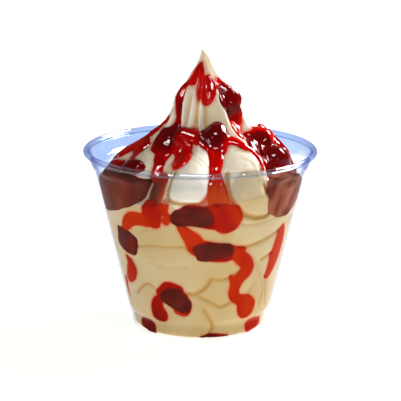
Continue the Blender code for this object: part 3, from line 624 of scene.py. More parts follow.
class Finish:
    # a material and the tree that it is built in
    def __init__(self, name):
        self.material = bpy.data.materials.new(name)
        self.material.use_nodes = True
        self.tree = self.material.node_tree
        self.tree.nodes.clear()

    def node(self, kind, settings=None, values=None, output=0):
        item = self.tree.nodes.new(kind)
        for key, value in (settings or {}).items():
            setattr(item, key, value)
        for key, value in (values or {}).items():
            if isinstance(value, Wire):
                self.tree.links.new(value.socket, item.inputs[key])
            else:
                item.inputs[key].default_value = value
        return Wire(self, item.outputs[output]) if len(item.outputs) else None

    def place(self):
        return self.node("ShaderNodeTexCoord", output="Object")

    def noise(self, perMetre, detail=3.0, roughness=0.5, distortion=0.0, place=None):
        values = {
            "Vector": place or self.place(), "Scale": perMetre, "Detail": detail,
            "Roughness": roughness, "Distortion": distortion,
        }
        return self.node("ShaderNodeTexNoise", {}, values)

    # object coordinates multiplied per axis, so that a noise is drawn out
    def stretched(self, rates):
        values = {"Vector": self.place(), "Scale": rates}
        return self.node("ShaderNodeMapping", {}, values)

    def layer(self, name):
        return self.node("ShaderNodeAttribute", {"attribute_name": name}, output="Fac")

    def mixColour(self, share, first, second):
        values = {0: share, 6: first, 7: second}
        return self.node("ShaderNodeMix", {"data_type": "RGBA"}, values, output=2)

    def bump(self, height, strength, distance):
        values = {"Strength": strength, "Distance": distance, "Height": height}
        return self.node("ShaderNodeBump", {}, values)

    def principled(self, values):
        return self.node("ShaderNodeBsdfPrincipled", {}, values)

    def mixShader(self, share, first, second):
        return self.node("ShaderNodeMixShader", {}, {0: share, 1: first, 2: second})

    def shown(self, shader):
        self.node("ShaderNodeOutputMaterial", {}, {"Surface": shader})
        return self.material


def colour(red, green, blue):
    return (red, green, blue, 1.0)


# vanilla soft serve: pale cream where it is free, a warmer tan where the wall presses it,
# pink beside the sauce; tan painted shade in its valleys and creases, a painted highlight on its
# crests
def softServeFinish():
    look = {
        "cream": colour(0.88, 0.81, 0.66),
        # a painted highlight on the crests
        "crest": colour(0.97, 0.93, 0.84),
        # tan painted shade in the valleys
        "valley": colour(0.74, 0.56, 0.30),
        # tan where the wall presses it, and painted shade on two strips under the tip
        "pressed": colour(0.55, 0.405, 0.178),
        # painted shade in the creases
        "crease": colour(0.52, 0.30, 0.07),
        "stain": colour(0.70, 0.09, 0.02),
    }
    f = Finish("vanillaSoftServe")
    slow = f.noise(70.0, 3.0, 0.55, 0.4)
    broad = f.noise(38.0, 2.0, 0.5, 0.8)
    fine = f.noise(520.0, 4.0, 0.6)
    pressed = f.layer("pressed")
    creaseShade = f.layer("creaseShade")
    # tan painted shade in the valleys
    shade = f.mixColour((f.layer("valley") * 0.9).held(), look["cream"], look["valley"])
    # a painted highlight on the crests
    shade = f.mixColour(f.layer("crest"), shade, look["crest"])
    shade = f.mixColour((pressed * (0.9 + (broad - 0.5) * 0.8)).held(), shade, look["pressed"])
    # painted shade in the creases
    shade = f.mixColour((creaseShade * 0.95).held(), shade, look["crease"])
    shade = f.mixColour((f.layer("stain") * (slow * 1.6)).held(), shade, look["stain"])
    shader = f.principled({
        "Base Color": shade,
        "Roughness": (0.46 - 0.1 * pressed + (fine - 0.5) * 0.2).held(),
        "Specular IOR Level": 0.14,
        "Subsurface Weight": 0.25,
        "Subsurface Radius": (1.0, 0.55, 0.3),
        "Subsurface Scale": 0.0022,
        "Normal": f.bump(slow * 0.6 + fine * 0.25, 0.35, 0.0006),
    })
    return f.shown(shader)


# strawberry sauce: bright where it is thin, nearly black where it is deep, more orange and
# duller behind the wall
def sauceFinish(name, behindWall, pooled=False):
    if pooled:
        look = {
            "thin": colour(0.34, 0.11, 0.06),
            "middle": colour(0.17, 0.03, 0.016),
            "deep": colour(0.10, 0.015, 0.009),
        }
    elif behindWall:
        look = {
            "thin": colour(0.50, 0.026, 0.002),
            "middle": colour(0.36, 0.006, 0.002),
            "deep": colour(0.10, 0.004, 0.004),
        }
    else:
        look = {
            "thin": colour(0.66, 0.001, 0.0),
            "middle": colour(0.38, 0.0, 0.0),
            "deep": colour(0.12, 0.0, 0.002),
            # where the wall presses on it
            "orange": colour(0.68, 0.055, 0.004),
            "brown": colour(0.24, 0.06, 0.03),
            "deepBrown": colour(0.10, 0.018, 0.01),
        }
    f = Finish(name)
    slow = f.noise(130.0, 3.0, 0.5, 0.6)
    fine = f.noise(900.0, 2.0, 0.5)
    depth = (f.layer("depth") + (slow - 0.5) * (1.3 if pooled else 0.35)).held()
    shade = f.mixColour(depth.between(0.05, 0.5), look["thin"], look["middle"])
    shade = f.mixColour(depth.between(0.45, 0.95), shade, look["deep"])
    values = {
        "Base Color": shade,
        "Roughness": (0.05 + fine * 0.05).held(),
        "Specular IOR Level": 0.0 if behindWall else 0.14,
        "Normal": f.bump(f.noise(130.0, 1.0, 0.5, 0.6) + fine * 0.02, 0.35, 0.0005),
    }
    shader = f.principled(values)
    if not behindWall:
        streaks = f.noise(1.0, 3.0, 0.6, 0.3, f.stretched((900.0, 900.0, 90.0)))
        brown = f.mixColour(streaks.between(0.3, 0.7), look["brown"], look["deepBrown"])
        values["Base Color"] = f.mixColour(f.layer("brown"), look["orange"], brown)
        pressedOn = f.principled({**values, "Specular IOR Level": 0.0})
        shader = f.mixShader(f.layer("behind"), shader, pressedOn)
    return f.shown(shader)


# strawberry pieces: dark flesh under a coat of sauce
def berryFinish(name, behindWall):
    look = {
        "dark": colour(0.05, 0.0, 0.003),
        "flesh": colour(0.15, 0.001, 0.004),
    }
    if behindWall:
        look = {"dark": colour(0.075, 0.009, 0.006), "flesh": colour(0.16, 0.016, 0.01)}
    f = Finish(name)
    slow = f.noise(190.0, 4.0, 0.6, 0.8)
    fine = f.noise(1400.0, 3.0, 0.6)
    cells = f.node("ShaderNodeTexVoronoi", {"feature": "F1"}, {"Vector": f.place(), "Scale": 420.0})
    shade = f.mixColour(slow.between(0.42, 0.68), look["dark"], look["flesh"])
    shader = f.principled({
        "Base Color": shade,
        "Roughness": (0.08 + fine * 0.1).held(),
        "Specular IOR Level": 0.0 if behindWall else 0.16,
        "Normal": f.bump(slow * 0.5 + cells * 0.08 + fine * 0.03, 0.12, 0.0005),
    })
    return f.shown(shader)


# clear plastic: light goes straight through it, its edges mirror, and a wall with no food
# behind it looks faintly blue
def plasticFinish():
    look = {
        "blue": colour(0.58, 0.68, 0.89),
        "edge": colour(0.11, 0.14, 0.36),
        "mirrorStraightOn": 0.004,
    }
    f = Finish("clearPlastic")
    haze = f.noise(60.0, 3.0, 0.5)
    clear = f.node("ShaderNodeBsdfTransparent", {}, {"Color": colour(1.0, 1.0, 1.0)})
    blue = f.node("ShaderNodeBsdfTransparent", {}, {"Color": look["blue"]})
    edge = f.node("ShaderNodeBsdfTransparent", {}, {"Color": look["edge"]})
    mirror = f.principled({
        "Base Color": colour(0.9, 0.93, 0.98), "Metallic": 1.0, "Roughness": 0.03,
        "Normal": f.bump(haze, 0.05, 0.0008),
    })
    facing = f.node("ShaderNodeLayerWeight", {}, {"Blend": 0.5}, output="Facing")
    bead = f.layer("bead")
    body = f.mixShader((f.layer("tint") + bead * 0.25).held(), clear, blue)
    darkened = facing ** 7.0 * 0.9 + bead * facing ** 3.0 * 0.4
    body = f.mixShader(darkened.held(), body, edge)
    straightOn = look["mirrorStraightOn"] + f.layer("rear") * 0.05 + bead * 0.07
    return f.shown(f.mixShader((facing ** 6.0 * 0.3 + straightOn).held(), body, mirror))


finishes = {
    "softServe": softServeFinish(),
    "sauce": sauceFinish("strawberrySauce", False),
    "wallSauce": sauceFinish("strawberrySauceBehindWall", True),
    "pool": sauceFinish("pooledSauce", True, True),
    "berry": berryFinish("strawberryPiece", False),
    "wallBerry": berryFinish("strawberryPieceBehindWall", True),
    "plastic": plasticFinish(),
}
print("stage: finishes made")


# ---- the cup: its section with rounded corners and a fine bead, turned round the axis


# each corner is replaced by a quadratic curve between points a little way along its sides
def roundedSection(points, cut):
    points = np.array(points, float)
    rounded = [points[0]]
    for before, corner, after in zip(points[:-2], points[1:-1], points[2:]):
        back = before - corner
        ahead = after - corner
        start = corner + back * min(cup["cutShare"], cut / np.hypot(*back))
        end = corner + ahead * min(cup["cutShare"], cut / np.hypot(*ahead))
        for share in cup["cornerSteps"]:
            rounded.append(
                (1 - share) ** 2 * start + 2 * share * (1 - share) * corner + share**2 * end
            )
    rounded.append(points[-1])
    return np.array(rounded)


def cutLongRuns(points, longest):
    pieces = [points[:1]]
    for a, b in zip(points[:-1], points[1:]):
        count = max(1, math.ceil(np.hypot(*(b - a)) / longest))
        share = np.linspace(0.0, 1.0, count + 1)[1:, None]
        pieces.append(a + (b - a) * share)
    return np.vstack(pieces)


def buildCup():
    angles = np.radians(np.linspace(*cup["beadArc"], cup["beadPoints"]))
    middle = np.array(cup["beadMiddle"])
    bead = middle + cup["beadRadius"] * np.column_stack([np.cos(angles), np.sin(angles)])
    section = np.vstack([
        roundedSection(cup["inside"], cup["roundCut"]), bead,
        roundedSection(cup["outside"], cup["roundCut"]),
    ])
    section = cutLongRuns(section, cup["longestRun"])[1:-1]
    turn = np.linspace(0.0, math.tau, cup["columns"], endpoint=False)
    x = section[:, :1] * np.sin(turn)
    y = -section[:, :1] * np.cos(turn)
    rings = np.stack([x, y, section[:, 1:] + 0.0 * x], axis=-1)
    # the section runs from the inside floor up and down again, so its rings point inwards
    rings = rings[:, ::-1]
    points, faces = closedStack(rings, (0.0, *cup["inside"][0]), (0.0, *cup["outside"][-1]))
    angle = np.degrees(np.arctan2(points[:, 0], -points[:, 1]))
    height = np.clip(points[:, 2], swirl["lowest"], cup["rimHeight"])
    food = heldInWall(freePoints(angle, height), 0.0)
    gap = wallInside(height) - np.hypot(food[:, 0], food[:, 1])
    empty = smoothStep(*cup["emptyAt"], gap)
    rear = smoothStep(*cup["rearAt"], points[:, 1])
    beside = cup["sideTint"] * smoothStep(*cup["besideAt"], np.abs(angle))
    tint = empty * np.maximum(cup["frontTint"], np.maximum(rear, beside))
    away = np.hypot(np.hypot(points[:, 0], points[:, 1]) - middle[0], points[:, 2] - middle[1])
    layers = {"tint": tint, "rear": empty * rear, "bead": smoothStep(*cup["beadAt"], away)}
    makePiece("cupShell", points, faces, finishes["plastic"], ["cup"], layers)


buildCup()
print("stage: cup built")


# ---- the soft serve, one closed piece from the cup's floor to the peak


# the mean over a window of columns and rows, round the closed columns
def blurred(values, acrossColumns, overRows):
    total = sum(np.roll(values, i, axis=1) for i in range(-acrossColumns, acrossColumns + 1))
    total = total / (2 * acrossColumns + 1)
    padded = np.pad(total, ((overRows, overRows), (0, 0)), mode="edge")
    rows = len(values)
    return sum(padded[i:i + rows] for i in range(2 * overRows + 1)) / (2 * overRows + 1)


def buildSoftServe():
    angle = np.linspace(0.0, 360.0, swirl["columns"], endpoint=False)
    height = evenHeights(swirl["lowest"], swirl["peak"], swirl["rows"])
    side, pressed, cut = foodSkin(angle[None, :], height[:, None])
    turn = np.radians(angle)
    into = swirl["reachIntoWall"]
    floorRings = [
        np.stack([r * np.sin(turn), -r * np.cos(turn), np.full(len(turn), z - into)], axis=-1)
        for r, z in swirl["underside"]
    ]
    rings = np.concatenate([np.array(floorRings), side])
    topPole = side[-1].mean(axis=0) + (0.0, 0.0, swirl["tipAbove"])
    points, faces = closedStack(rings, (0.0, 0.0, swirl["underside"][0][1] - into), topPole)
    inTop, _ = blendStrokes(side, topSauce["strokes"], topSauce["firmness"])
    inWall, _ = blendStrokes(side, wallSauce["strokes"], wallSauce["firmness"])
    beside = np.maximum(inTop + topSauce["wider"], inWall)
    stain = smoothStep(*swirl["stainAt"], beside) * swirl["stainShare"]
    inLobe, (lobeToneAndShade,) = blendStrokes(side, lobeTonesAndShade, swirl["paleFirmness"])
    share = lobeToneAndShade * smoothStep(*swirl["paleAt"], inLobe)
    # a pale lobe loses its pressed tan; the tan lobe and the two strips under the tip take it on,
    # on the strips as painted shade
    pressed = pressed * (1.0 - swirl["paleShare"] * np.maximum(share, 0.0))
    pressed = pressed + (1.0 - pressed) * np.maximum(-share, 0.0)
    x, y, z = np.moveaxis(side, -1, 0)
    # how far each point stands out from the mean round it: valleys get tan painted shade and crests
    # a painted highlight
    reach = np.hypot(x - readTable(swirl["envelope"], 2, z), y)
    stands = reach - blurred(reach, *swirl["window"])
    crest = smoothStep(*swirl["crestHighlightAt"], stands) * smoothStep(*swirl["crestHighlightFrom"], z)
    # a pale lobe takes on part of the crests' painted highlight
    crest = np.maximum(crest * smoothStep(*swirl["crestHighlightTo"], z), swirl["paleLobeHighlight"] * share)
    # what each layer holds on the side, and on the underside
    layers = {
        "pressed": (pressed, 1.0),
        "creaseShade": (smoothStep(*swirl["creaseShadeAt"], cut), 0.0),
        "stain": (stain, 0.0),
        "valley": (smoothStep(*swirl["valleyShadeAt"], stands), 0.0),
        "crest": (crest, 0.0),
    }
    under = len(floorRings) * len(turn)
    layers = {
        key: np.concatenate([np.full(under, below), value.ravel(), [below, 0.0]])
        for key, (value, below) in layers.items()
    }
    makePiece("softServe", points, faces, finishes["softServe"], ["soft_serve"], layers)


buildSoftServe()
print("stage: soft serve built")


# ---- strawberry pieces: uneven lumps on the swirl and against the wall

berries = {
    # angle, height, lift, half width, half length, half depth, turn
    "top": (
        (8.5, 79.3, 1.6, 4.7, 5.6, 3.8, 0), (-42.0, 77.6, 1.2, 4.6, 6.6, 3.6, -22),
        (60.0, 90.6, 1.8, 3.6, 5.2, 3.0, 12), (50.0, 73.2, 1.6, 4.6, 4.4, 3.6, 0),
        (64.5, 70.8, 1.1, 4.9, 4.5, 3.6, -20), (-54.0, 67.8, 1.0, 5.0, 3.0, 3.0, 10),
        (71.0, 76.8, 1.0, 3.8, 3.2, 3.0, 0), (132.0, 71.6, 1.2, 5.0, 4.6, 3.6, 15),
        (168.0, 84.5, 1.5, 4.0, 5.6, 3.4, -10), (206.0, 69.6, 1.2, 5.2, 4.6, 3.6, -15),
    ),
    # of the sauce over each: its height and its width, against the piece's own, and between
    # them how dark it is
    "topCovers": (
        (0.78, 0.95, 1.0), (0.55, 0.82, 0.85), (0.6, 0.8, 1.05), (0.7, 0.8, 1.0),
        (0.7, 0.86, 1.0), (0.75, 0.9, 1.0), (0.85, 0.0, 1.15), (0.7, 0.85, 1.0),
        (0.7, 0.85, 1.0), (0.7, 0.85, 1.0),
    ),
    # angle, height, half width, half height, half depth, turn
    "wall": (
        (-3.8, 52.3, 9.0, 4.6, 4.2, 4), (8.5, 38.4, 9.6, 5.0, 4.4, -4),
        (-54.5, 38.6, 7.4, 5.0, 4.2, -18), (-16.5, 16.8, 7.2, 4.5, 4.0, -32),
        (-52.0, 4.0, 6.0, 3.4, 3.6, 0), (53.5, 4.2, 5.6, 3.4, 3.6, 0),
        (18.0, 3.9, 7.4, 2.7, 3.6, 0), (106.0, 44.5, 7.6, 5.0, 4.2, 12),
        (141.0, 26.5, 7.0, 5.2, 4.2, -14), (186.0, 35.5, 8.0, 4.8, 4.2, 8),
        (238.0, 27.0, 6.8, 5.4, 4.2, 20), (262.0, 48.0, 7.0, 4.6, 4.0, -8),
        (205.0, 9.5, 6.4, 3.8, 3.8, 0),
    ),
    # how dark the sauce round each is, how wide that is against the piece's own width, and how
    # far in mm the piece is sunk behind the film of sauce
    "wallHalos": (
        (0.98, 0.86, 0.7), (0.98, 0.62, 1.3), (0.98, 0.85, 0.2), (0.95, 0.8, 0.4),
        (0.82, 0.9, 3.3), (0.3, 0.9, 3.3), (0.97, 0.05, 5.5), (0.95, 0.9, 0.0),
        (0.95, 0.9, 0.4), (0.95, 0.9, 0.0), (0.95, 0.85, 0.4), (0.95, 0.9, 0.0),
        (0.9, 0.85, 0.3),
    ),
    "columns": 64,
    "layers": 40,
    # size, rate and count of the waves that make a piece uneven, and of small ones on it
    "swells": (0.34, 1.9, 5),
    "bumps": (0.015, 3.0, 8),
    "squareness": 0.35,
    "topSeed": 41,
    "wallSeed": 141,
    "seedStep": 7,
    "foodGap": 0.4,
    "proud": 0.16,
    "behindWall": 0.45,  # of a piece's depth, from the wall to its middle
    "wallLowest": 1.35,
    "narrowest": 0.5,  # share of its width that a wall piece keeps where its sauce has no width
    "underSauce": 0.7,  # how much of its size is left to a piece that the sauce coats
    # the sauce over a piece: how far round it the sauce is drawn up its sides, how firmly it is
    # raised, the power of its dome and how steeply that goes on down beyond the foot
    "skirt": 0.9,
    "coverFirmness": 1.0,
    "coverPower": 0.85,
    "domeFalls": 5.0,
    "coverEnds": (1.25, 1.0),  # shares of the way out to the foot where it starts and is full
    "coverFaces": (0.0, 0.45),  # and cosines between the skin's outward direction and the piece's
    "coverSeed": 300,
    "coverWaves": (0.13, 0.35, 5),
    "domeWaves": (0.1, 0.4, 4),
    "halo": 0.5,  # how far round a wall piece the sauce shows
    "haloWaves": (0.1, 0.5, 5, 77),
    "wallLean": math.atan2(41.6 - 28.2, 63.2 - 7.6),
}


# an ellipsoid whose radius swells and shrinks with a few waves, squared off a little, with
# smaller bumps on it
def lumpRings(sizes, seed):
    polar = np.radians(np.linspace(-90.0, 90.0, berries["layers"] + 1)[1:-1])
    around = np.linspace(0.0, math.tau, berries["columns"], endpoint=False)
    rise, turn = np.meshgrid(polar, around, indexing="ij")
    ray = np.stack([np.cos(rise) * np.cos(turn), np.cos(rise) * np.sin(turn), np.sin(rise)], -1)
    poles = np.array([[0.0, 0.0, -1.0], [0.0, 0.0, 1.0]])
    return lumpSurface(ray, sizes, seed), lumpSurface(poles, sizes, seed)


def lumpSurface(ray, sizes, seed):
    size, rate, count = berries["swells"]
    directions = np.random.default_rng(seed).normal(size=(count, 3)) * rate
    phases = np.random.default_rng(seed + 1).uniform(0.0, math.tau, count)
    swell = np.sin(ray @ directions.T + phases).mean(axis=-1)
    square = np.abs(ray).max(axis=-1) ** -berries["squareness"]
    small = unevenness(ray, *berries["bumps"], seed + 2)
    scale = (1.0 + size * swell + small) * square
    return ray * sizes * scale[..., None]


# a piece's own axes, turned in the plane of the skin
def turnedAxes(across, up, turn):
    a = math.radians(turn)
    return across * math.cos(a) + up * math.sin(a), up * math.cos(a) - across * math.sin(a)


def placeLump(points, centre, across, up, outward, turn):
    right, upward = turnedAxes(across, up, turn)
    return centre + points[..., :1] * right - points[..., 1:2] * outward + points[..., 2:] * upward


# a place on the swirl, with the directions across, up and out of the skin there
def swirlFrame(angle, height):
    step = 2.0
    angles = np.array([angle, angle - step, angle + step, angle, angle])
    heights = np.array([height, height, height, height - step, height + step])
    here, left, right, low, high = heldInWall(freePoints(angles, heights), -berries["foodGap"])
    across = (right - left) / np.linalg.norm(right - left)
    up = high - low
    up = up - across * (up @ across)
    up = up / np.linalg.norm(up)
    return here, across, up, np.cross(across, up)


# the sheet is raised over each berry along the berry's own outward direction, to an uneven
# dome, height times a power of 1 - e^2: rise = log(1 + exp(k (dome - height so far))) / k.
# It also gives how far inside the foot of the nearest dome each point lies, and how dark.
def raisedOverBerries(front):
    near = np.full(front.shape[:-1], -farOff)
    dark = np.zeros(front.shape[:-1])
    firmness = berries["coverFirmness"]
    for index, (angle, height, lift, wide, long, deep, turn) in enumerate(berries["top"]):
        here, across, up, outward = swirlFrame(angle, height)
        u, v, w = berryCoordinates(front - here, across, up, outward, turn)
        flat = np.stack([u, v, 0.0 * u], axis=-1)
        seed = berries["coverSeed"] + berries["seedStep"] * index
        raiseTo, darkness, spread = berries["topCovers"][index]
        e = np.hypot(u / (wide + berries["skirt"]), v / (long + berries["skirt"])) / spread
        e = e * (1.0 + unevenness(flat, *berries["coverWaves"], seed))
        e = np.where(np.abs(w) < farOff, e, farOff)
        uneven = 1.0 + unevenness(flat, *berries["domeWaves"], seed + 1)
        fall = berries["domeFalls"] * np.maximum(e - 1.0, 0.0)
        dome = np.clip(1.0 - e**2, 0.0, 1.0) ** berries["coverPower"] - fall
        dome = (lift + deep) * raiseTo * uneven * dome
        rise = np.logaddexp(0.0, (dome - w) * firmness) / firmness
        rise = rise * smoothStep(*berries["coverEnds"], e)
        facing = (gridNormals(front) * outward).sum(axis=-1)
        rise = rise * smoothStep(*berries["coverFaces"], facing)
        front = front + rise[..., None] * outward
        here = (1.0 - e) * min(wide, long)
        dark = np.where(here > near, darkness, dark)
        near = np.maximum(near, here)
    return front, near, dark


# nothing is raised over the pieces at the wall, but how far inside the sauce round the nearest
# of them each point lies, and how dark, is given in the same way
def wallHalos(points):
    near = np.full(points.shape[:-1], -farOff)
    dark = np.zeros(points.shape[:-1])
    for index, (angle, height, wide, tall, deep, turn) in enumerate(berries["wall"]):
        here, across, up, outward = wallFrame(angle, height)
        u, v, w = berryCoordinates(points - here, across, up, outward, turn)
        darkness, spread, _ = berries["wallHalos"][index]
        e = np.hypot(u / (wide + berries["halo"]), v / (tall + berries["halo"])) / spread
        e = np.where(np.abs(w) < farOff, e, farOff)
        e = e * (1.0 + unevenness(points, *berries["haloWaves"]))
        here = (1.0 - e) * tall
        dark = np.where(here > near, darkness, dark)
        near = np.maximum(near, here)
    return points, near, dark


def berryCoordinates(offset, across, up, outward, turn):
    right, upward = turnedAxes(across, up, turn)
    return offset @ right, offset @ upward, offset @ outward


# the same for a place on the inside of the wall
def wallFrame(angle, height):
    a = math.radians(angle)
    lean = berries["wallLean"]
    radial = np.array([math.sin(a), -math.cos(a), 0.0])
    across = np.array([math.cos(a), math.sin(a), 0.0])
    up = radial * math.sin(lean) + np.array([0.0, 0.0, math.cos(lean)])
    return radial * float(wallInside(height)) + (0.0, 0.0, height), across, up, np.cross(across, up)


# ---- the pools' form, which the sauce over them also goes by

poolSides = ("left", "right", "back")

pools = {
    # ends in degrees, bottoms and tops at both ends and the middle, depth and darkness
    "left": ((-86, -35), (46.5, 49.8, 55.5), (57.0, 60.5, 61.5), 2.2, 0.64),
    "right": ((42, 90), (48.4, 48.6, 53.0), (61.5, 61.0, 59.0), 2.2, 0.34),
    "back": ((142, 198), (52.5, 48.0, 51.5), (58.5, 60.0, 59.0), 2.2, 0.5),
    "columns": 150,
    "layers": 44,
    "proud": 0.17,
    "waist": 0.55,  # the share of its height towards which it narrows at the ends
    "endHeight": 0.12,
    "endDepth": 0.3,
    "bottomDepth": 0.35,
    "reachIntoFood": 0.5,
    "foodGap": 0.4,
    "filmTo": 65.6,  # above each pool a film of sauce clings to the wall up to here
    "filmFalls": 5.5,  # but this much lower at the sides and the back, from these angles
    "filmFallsAt": (60.0, 84.0),
    "filmOver": 0.4,
    "filmDepth": 0.5,
    "filmAt": (0.0, 0.8),
    # size, rate, count and seed of the waves in its outline and in how dark it is
    "bottomWaves": (0.4, 0.5, 6, 31),
    "filmWaves": (0.2, 0.8, 6, 32),
    "mottle": (0.22, 0.5, 7, 33),
    "mottleRates": (1.0, 1.0, 0.3),
}


# ---- sauce sheets: the skin pushed out along its normal by the sauce's thickness, which
# rises from the outline as a quarter round; below the skin outside the outline, and closed
# by a copy of itself further in

# what both sheets have in common
sheet = {
    "uneven": (0.12, 0.7, 6, 9),  # size, rate, count and seed of the waves in its outline
    "fillAt": (0.0, 1.2),  # the way in from the outline over which it leaves the skin
    "dives": 0.5,  # how steeply it goes below the skin outside the outline
    "deepest": 1.0,
    "endsAt": 0.75,
    "edgeDark": 0.75,  # how dark it is at the outline, against 1 further in
    "bright": 2.0,  # the way up over which it turns bright
    "wallAt": (66.0, 60.5),  # heights between which it starts to look pressed to the wall
    "brownAt": (-14.0, -6.0),  # degrees inside the ends of a pool over which it turns brown
}


def buildSauce(name, sauce, finish):
    angle = np.linspace(0.0, 360.0, sauce["columns"], endpoint=False)
    height = evenHeights(sauce["from"], sauce["to"], sauce["rows"])
    skin, pressed, _ = foodSkin(angle[None, :], height[:, None])
    inside, (thickness, dark) = blendStrokes(skin, sauce["strokes"], sauce["firmness"])
    inside = inside + sauce["wider"] + unevenness(skin, *sheet["uneven"])
    # the sauce lies on a smoothed skin, so that it fills the valleys and rounds the ridges
    smooth = np.stack([blurred(skin[..., i], *sauce["fill"]) for i in range(3)], axis=-1)
    normals = gridNormals(smooth)
    over = np.maximum(((skin - smooth) * normals).sum(axis=-1), 0.0) * sauce["ridgeShare"]
    share = (smoothStep(*sheet["fillAt"], inside) * sauce["fillShare"])[..., None]
    base = skin * (1.0 - share) + (smooth + normals * over[..., None]) * share
    near = sauce["overBerries"](base)[1]
    inside = np.maximum(inside, near - sauce["tuck"])
    rise = np.clip(inside / sauce["edge"], 0.0, 1.0)
    bead = np.sqrt(1.0 - (1.0 - rise) ** 2) * thickness
    lift = np.where(inside > 0.0, bead, np.maximum(inside, -sheet["deepest"]) * sheet["dives"])
    front = base + normals * lift[..., None]
    raised, near, berryDark = sauce["overBerries"](front)
    front = np.where((inside > 0.0)[..., None], raised, front)
    front = heldInWall(front, sauce["proud"])
    back = front - normals * sauce["skin"]
    points, faces, used = closedSheet(front, back, inside > -sheet["endsAt"])
    depth = dark * (sheet["edgeDark"] + (1.0 - sheet["edgeDark"]) * rise)
    depth = depth + unevenness(skin, *sauce["mottle"])
    depth = depth + (berryDark - depth) * smoothStep(*sauce["berryFade"], near)
    free = sauce["freeFrom"]
    behind = pressed * smoothStep(free, free - sheet["bright"], skin[..., 2])
    behind = np.maximum(behind, smoothStep(*sheet["wallAt"], skin[..., 2]))
    brown = 0.0 * angle
    for start, end in (pools[side][0] for side in poolSides):
        fromEnd = (end - start) / 2.0 - np.abs(turned(angle - (start + end) / 2.0))
        brown = np.maximum(brown, smoothStep(*sheet["brownAt"], fromEnd))
    layers = {"depth": depth, "behind": behind, "brown": brown + 0.0 * depth}
    layers = {key: np.tile(value.ravel(), 2)[used] for key, value in layers.items()}
    makePiece(name, points, faces, finish, ["soft_serve"], layers)


# the quads whose corners are all kept, front and back, joined along their open edges
def closedSheet(front, back, keep):
    rows, columns = keep.shape
    quads = ringQuads(rows, columns)
    quads = quads[keep.ravel()[quads].all(axis=1)]
    edges = np.stack([quads, np.roll(quads, -1, axis=1)], axis=-1).reshape(-1, 2)
    size = rows * columns
    code = edges[:, 0] * size + edges[:, 1]
    lone = edges[~np.isin(code, edges[:, 1] * size + edges[:, 0])]
    sides = np.stack([lone[:, 1], lone[:, 0], lone[:, 0] + size, lone[:, 1] + size], axis=-1)
    everything = np.vstack([quads, quads[:, ::-1] + size, sides])
    used, faces = np.unique(everything, return_inverse=True)
    points = np.vstack([front.reshape(-1, 3), back.reshape(-1, 3)])[used]
    return points, faces.reshape(everything.shape).tolist(), used


topSauce["overBerries"] = raisedOverBerries
wallSauce["overBerries"] = wallHalos
buildSauce("topSauce", topSauce, finishes["sauce"])
buildSauce("wallSauce", wallSauce, finishes["wallSauce"])
print("stage: sauce poured")


# ---- strawberry pieces on the swirl and against the wall


def makeBerry(where, index, rings, poles, finish):
    points, faces = closedStack(rings, *poles)
    number = f"{index + 1:02d}"
    makePiece(where + "Strawberry" + number, points, faces, finish,
              [where + "_strawberry_" + number])


def buildTopBerries():
    for index, (angle, height, lift, wide, long, deep, turn) in enumerate(berries["top"]):
        here, across, up, outward = swirlFrame(angle, height)
        seed = berries["topSeed"] + berries["seedStep"] * index
        rings, poles = lumpRings(np.array([wide, deep, long]) * berries["underSauce"], seed)
        sunk = (lift + deep) * (1.0 - berries["topCovers"][index][0])
        spot = (here + outward * (lift - sunk), across, up, outward, turn)
        rings, poles = [placeLump(points, *spot) for points in (rings, poles)]
        makeBerry("top", index, rings, poles, finishes["berry"])


def buildWallBerries():
    for index, (angle, height, wide, tall, deep, turn) in enumerate(berries["wall"]):
        here, across, up, outward = wallFrame(angle, height)
        radial = here * (1.0, 1.0, 0.0) / np.hypot(here[0], here[1])
        _, spread, sink = berries["wallHalos"][index]
        centre = here - radial * (berries["foodGap"] + deep * berries["behindWall"] + sink)
        seed = berries["wallSeed"] + berries["seedStep"] * index
        narrow = berries["narrowest"] + (1.0 - berries["narrowest"]) * spread
        rings, poles = lumpRings(np.array([wide * narrow, deep, tall]), seed)
        pieces = [placeLump(p, centre, across, up, outward, turn) for p in (rings, poles)]
        shift = radial * (berries["foodGap"] + berries["proud"])
        lowest = (-np.inf, -np.inf, berries["wallLowest"])
        pieces = [heldInWall(np.maximum(p, lowest) + shift, berries["proud"]) for p in pieces]
        makeBerry("wall", index, *pieces, finishes["wallBerry"])


buildTopBerries()
buildWallBerries()
print("stage: strawberry pieces placed")


# ---- pooled sauce between the swirl and the wall


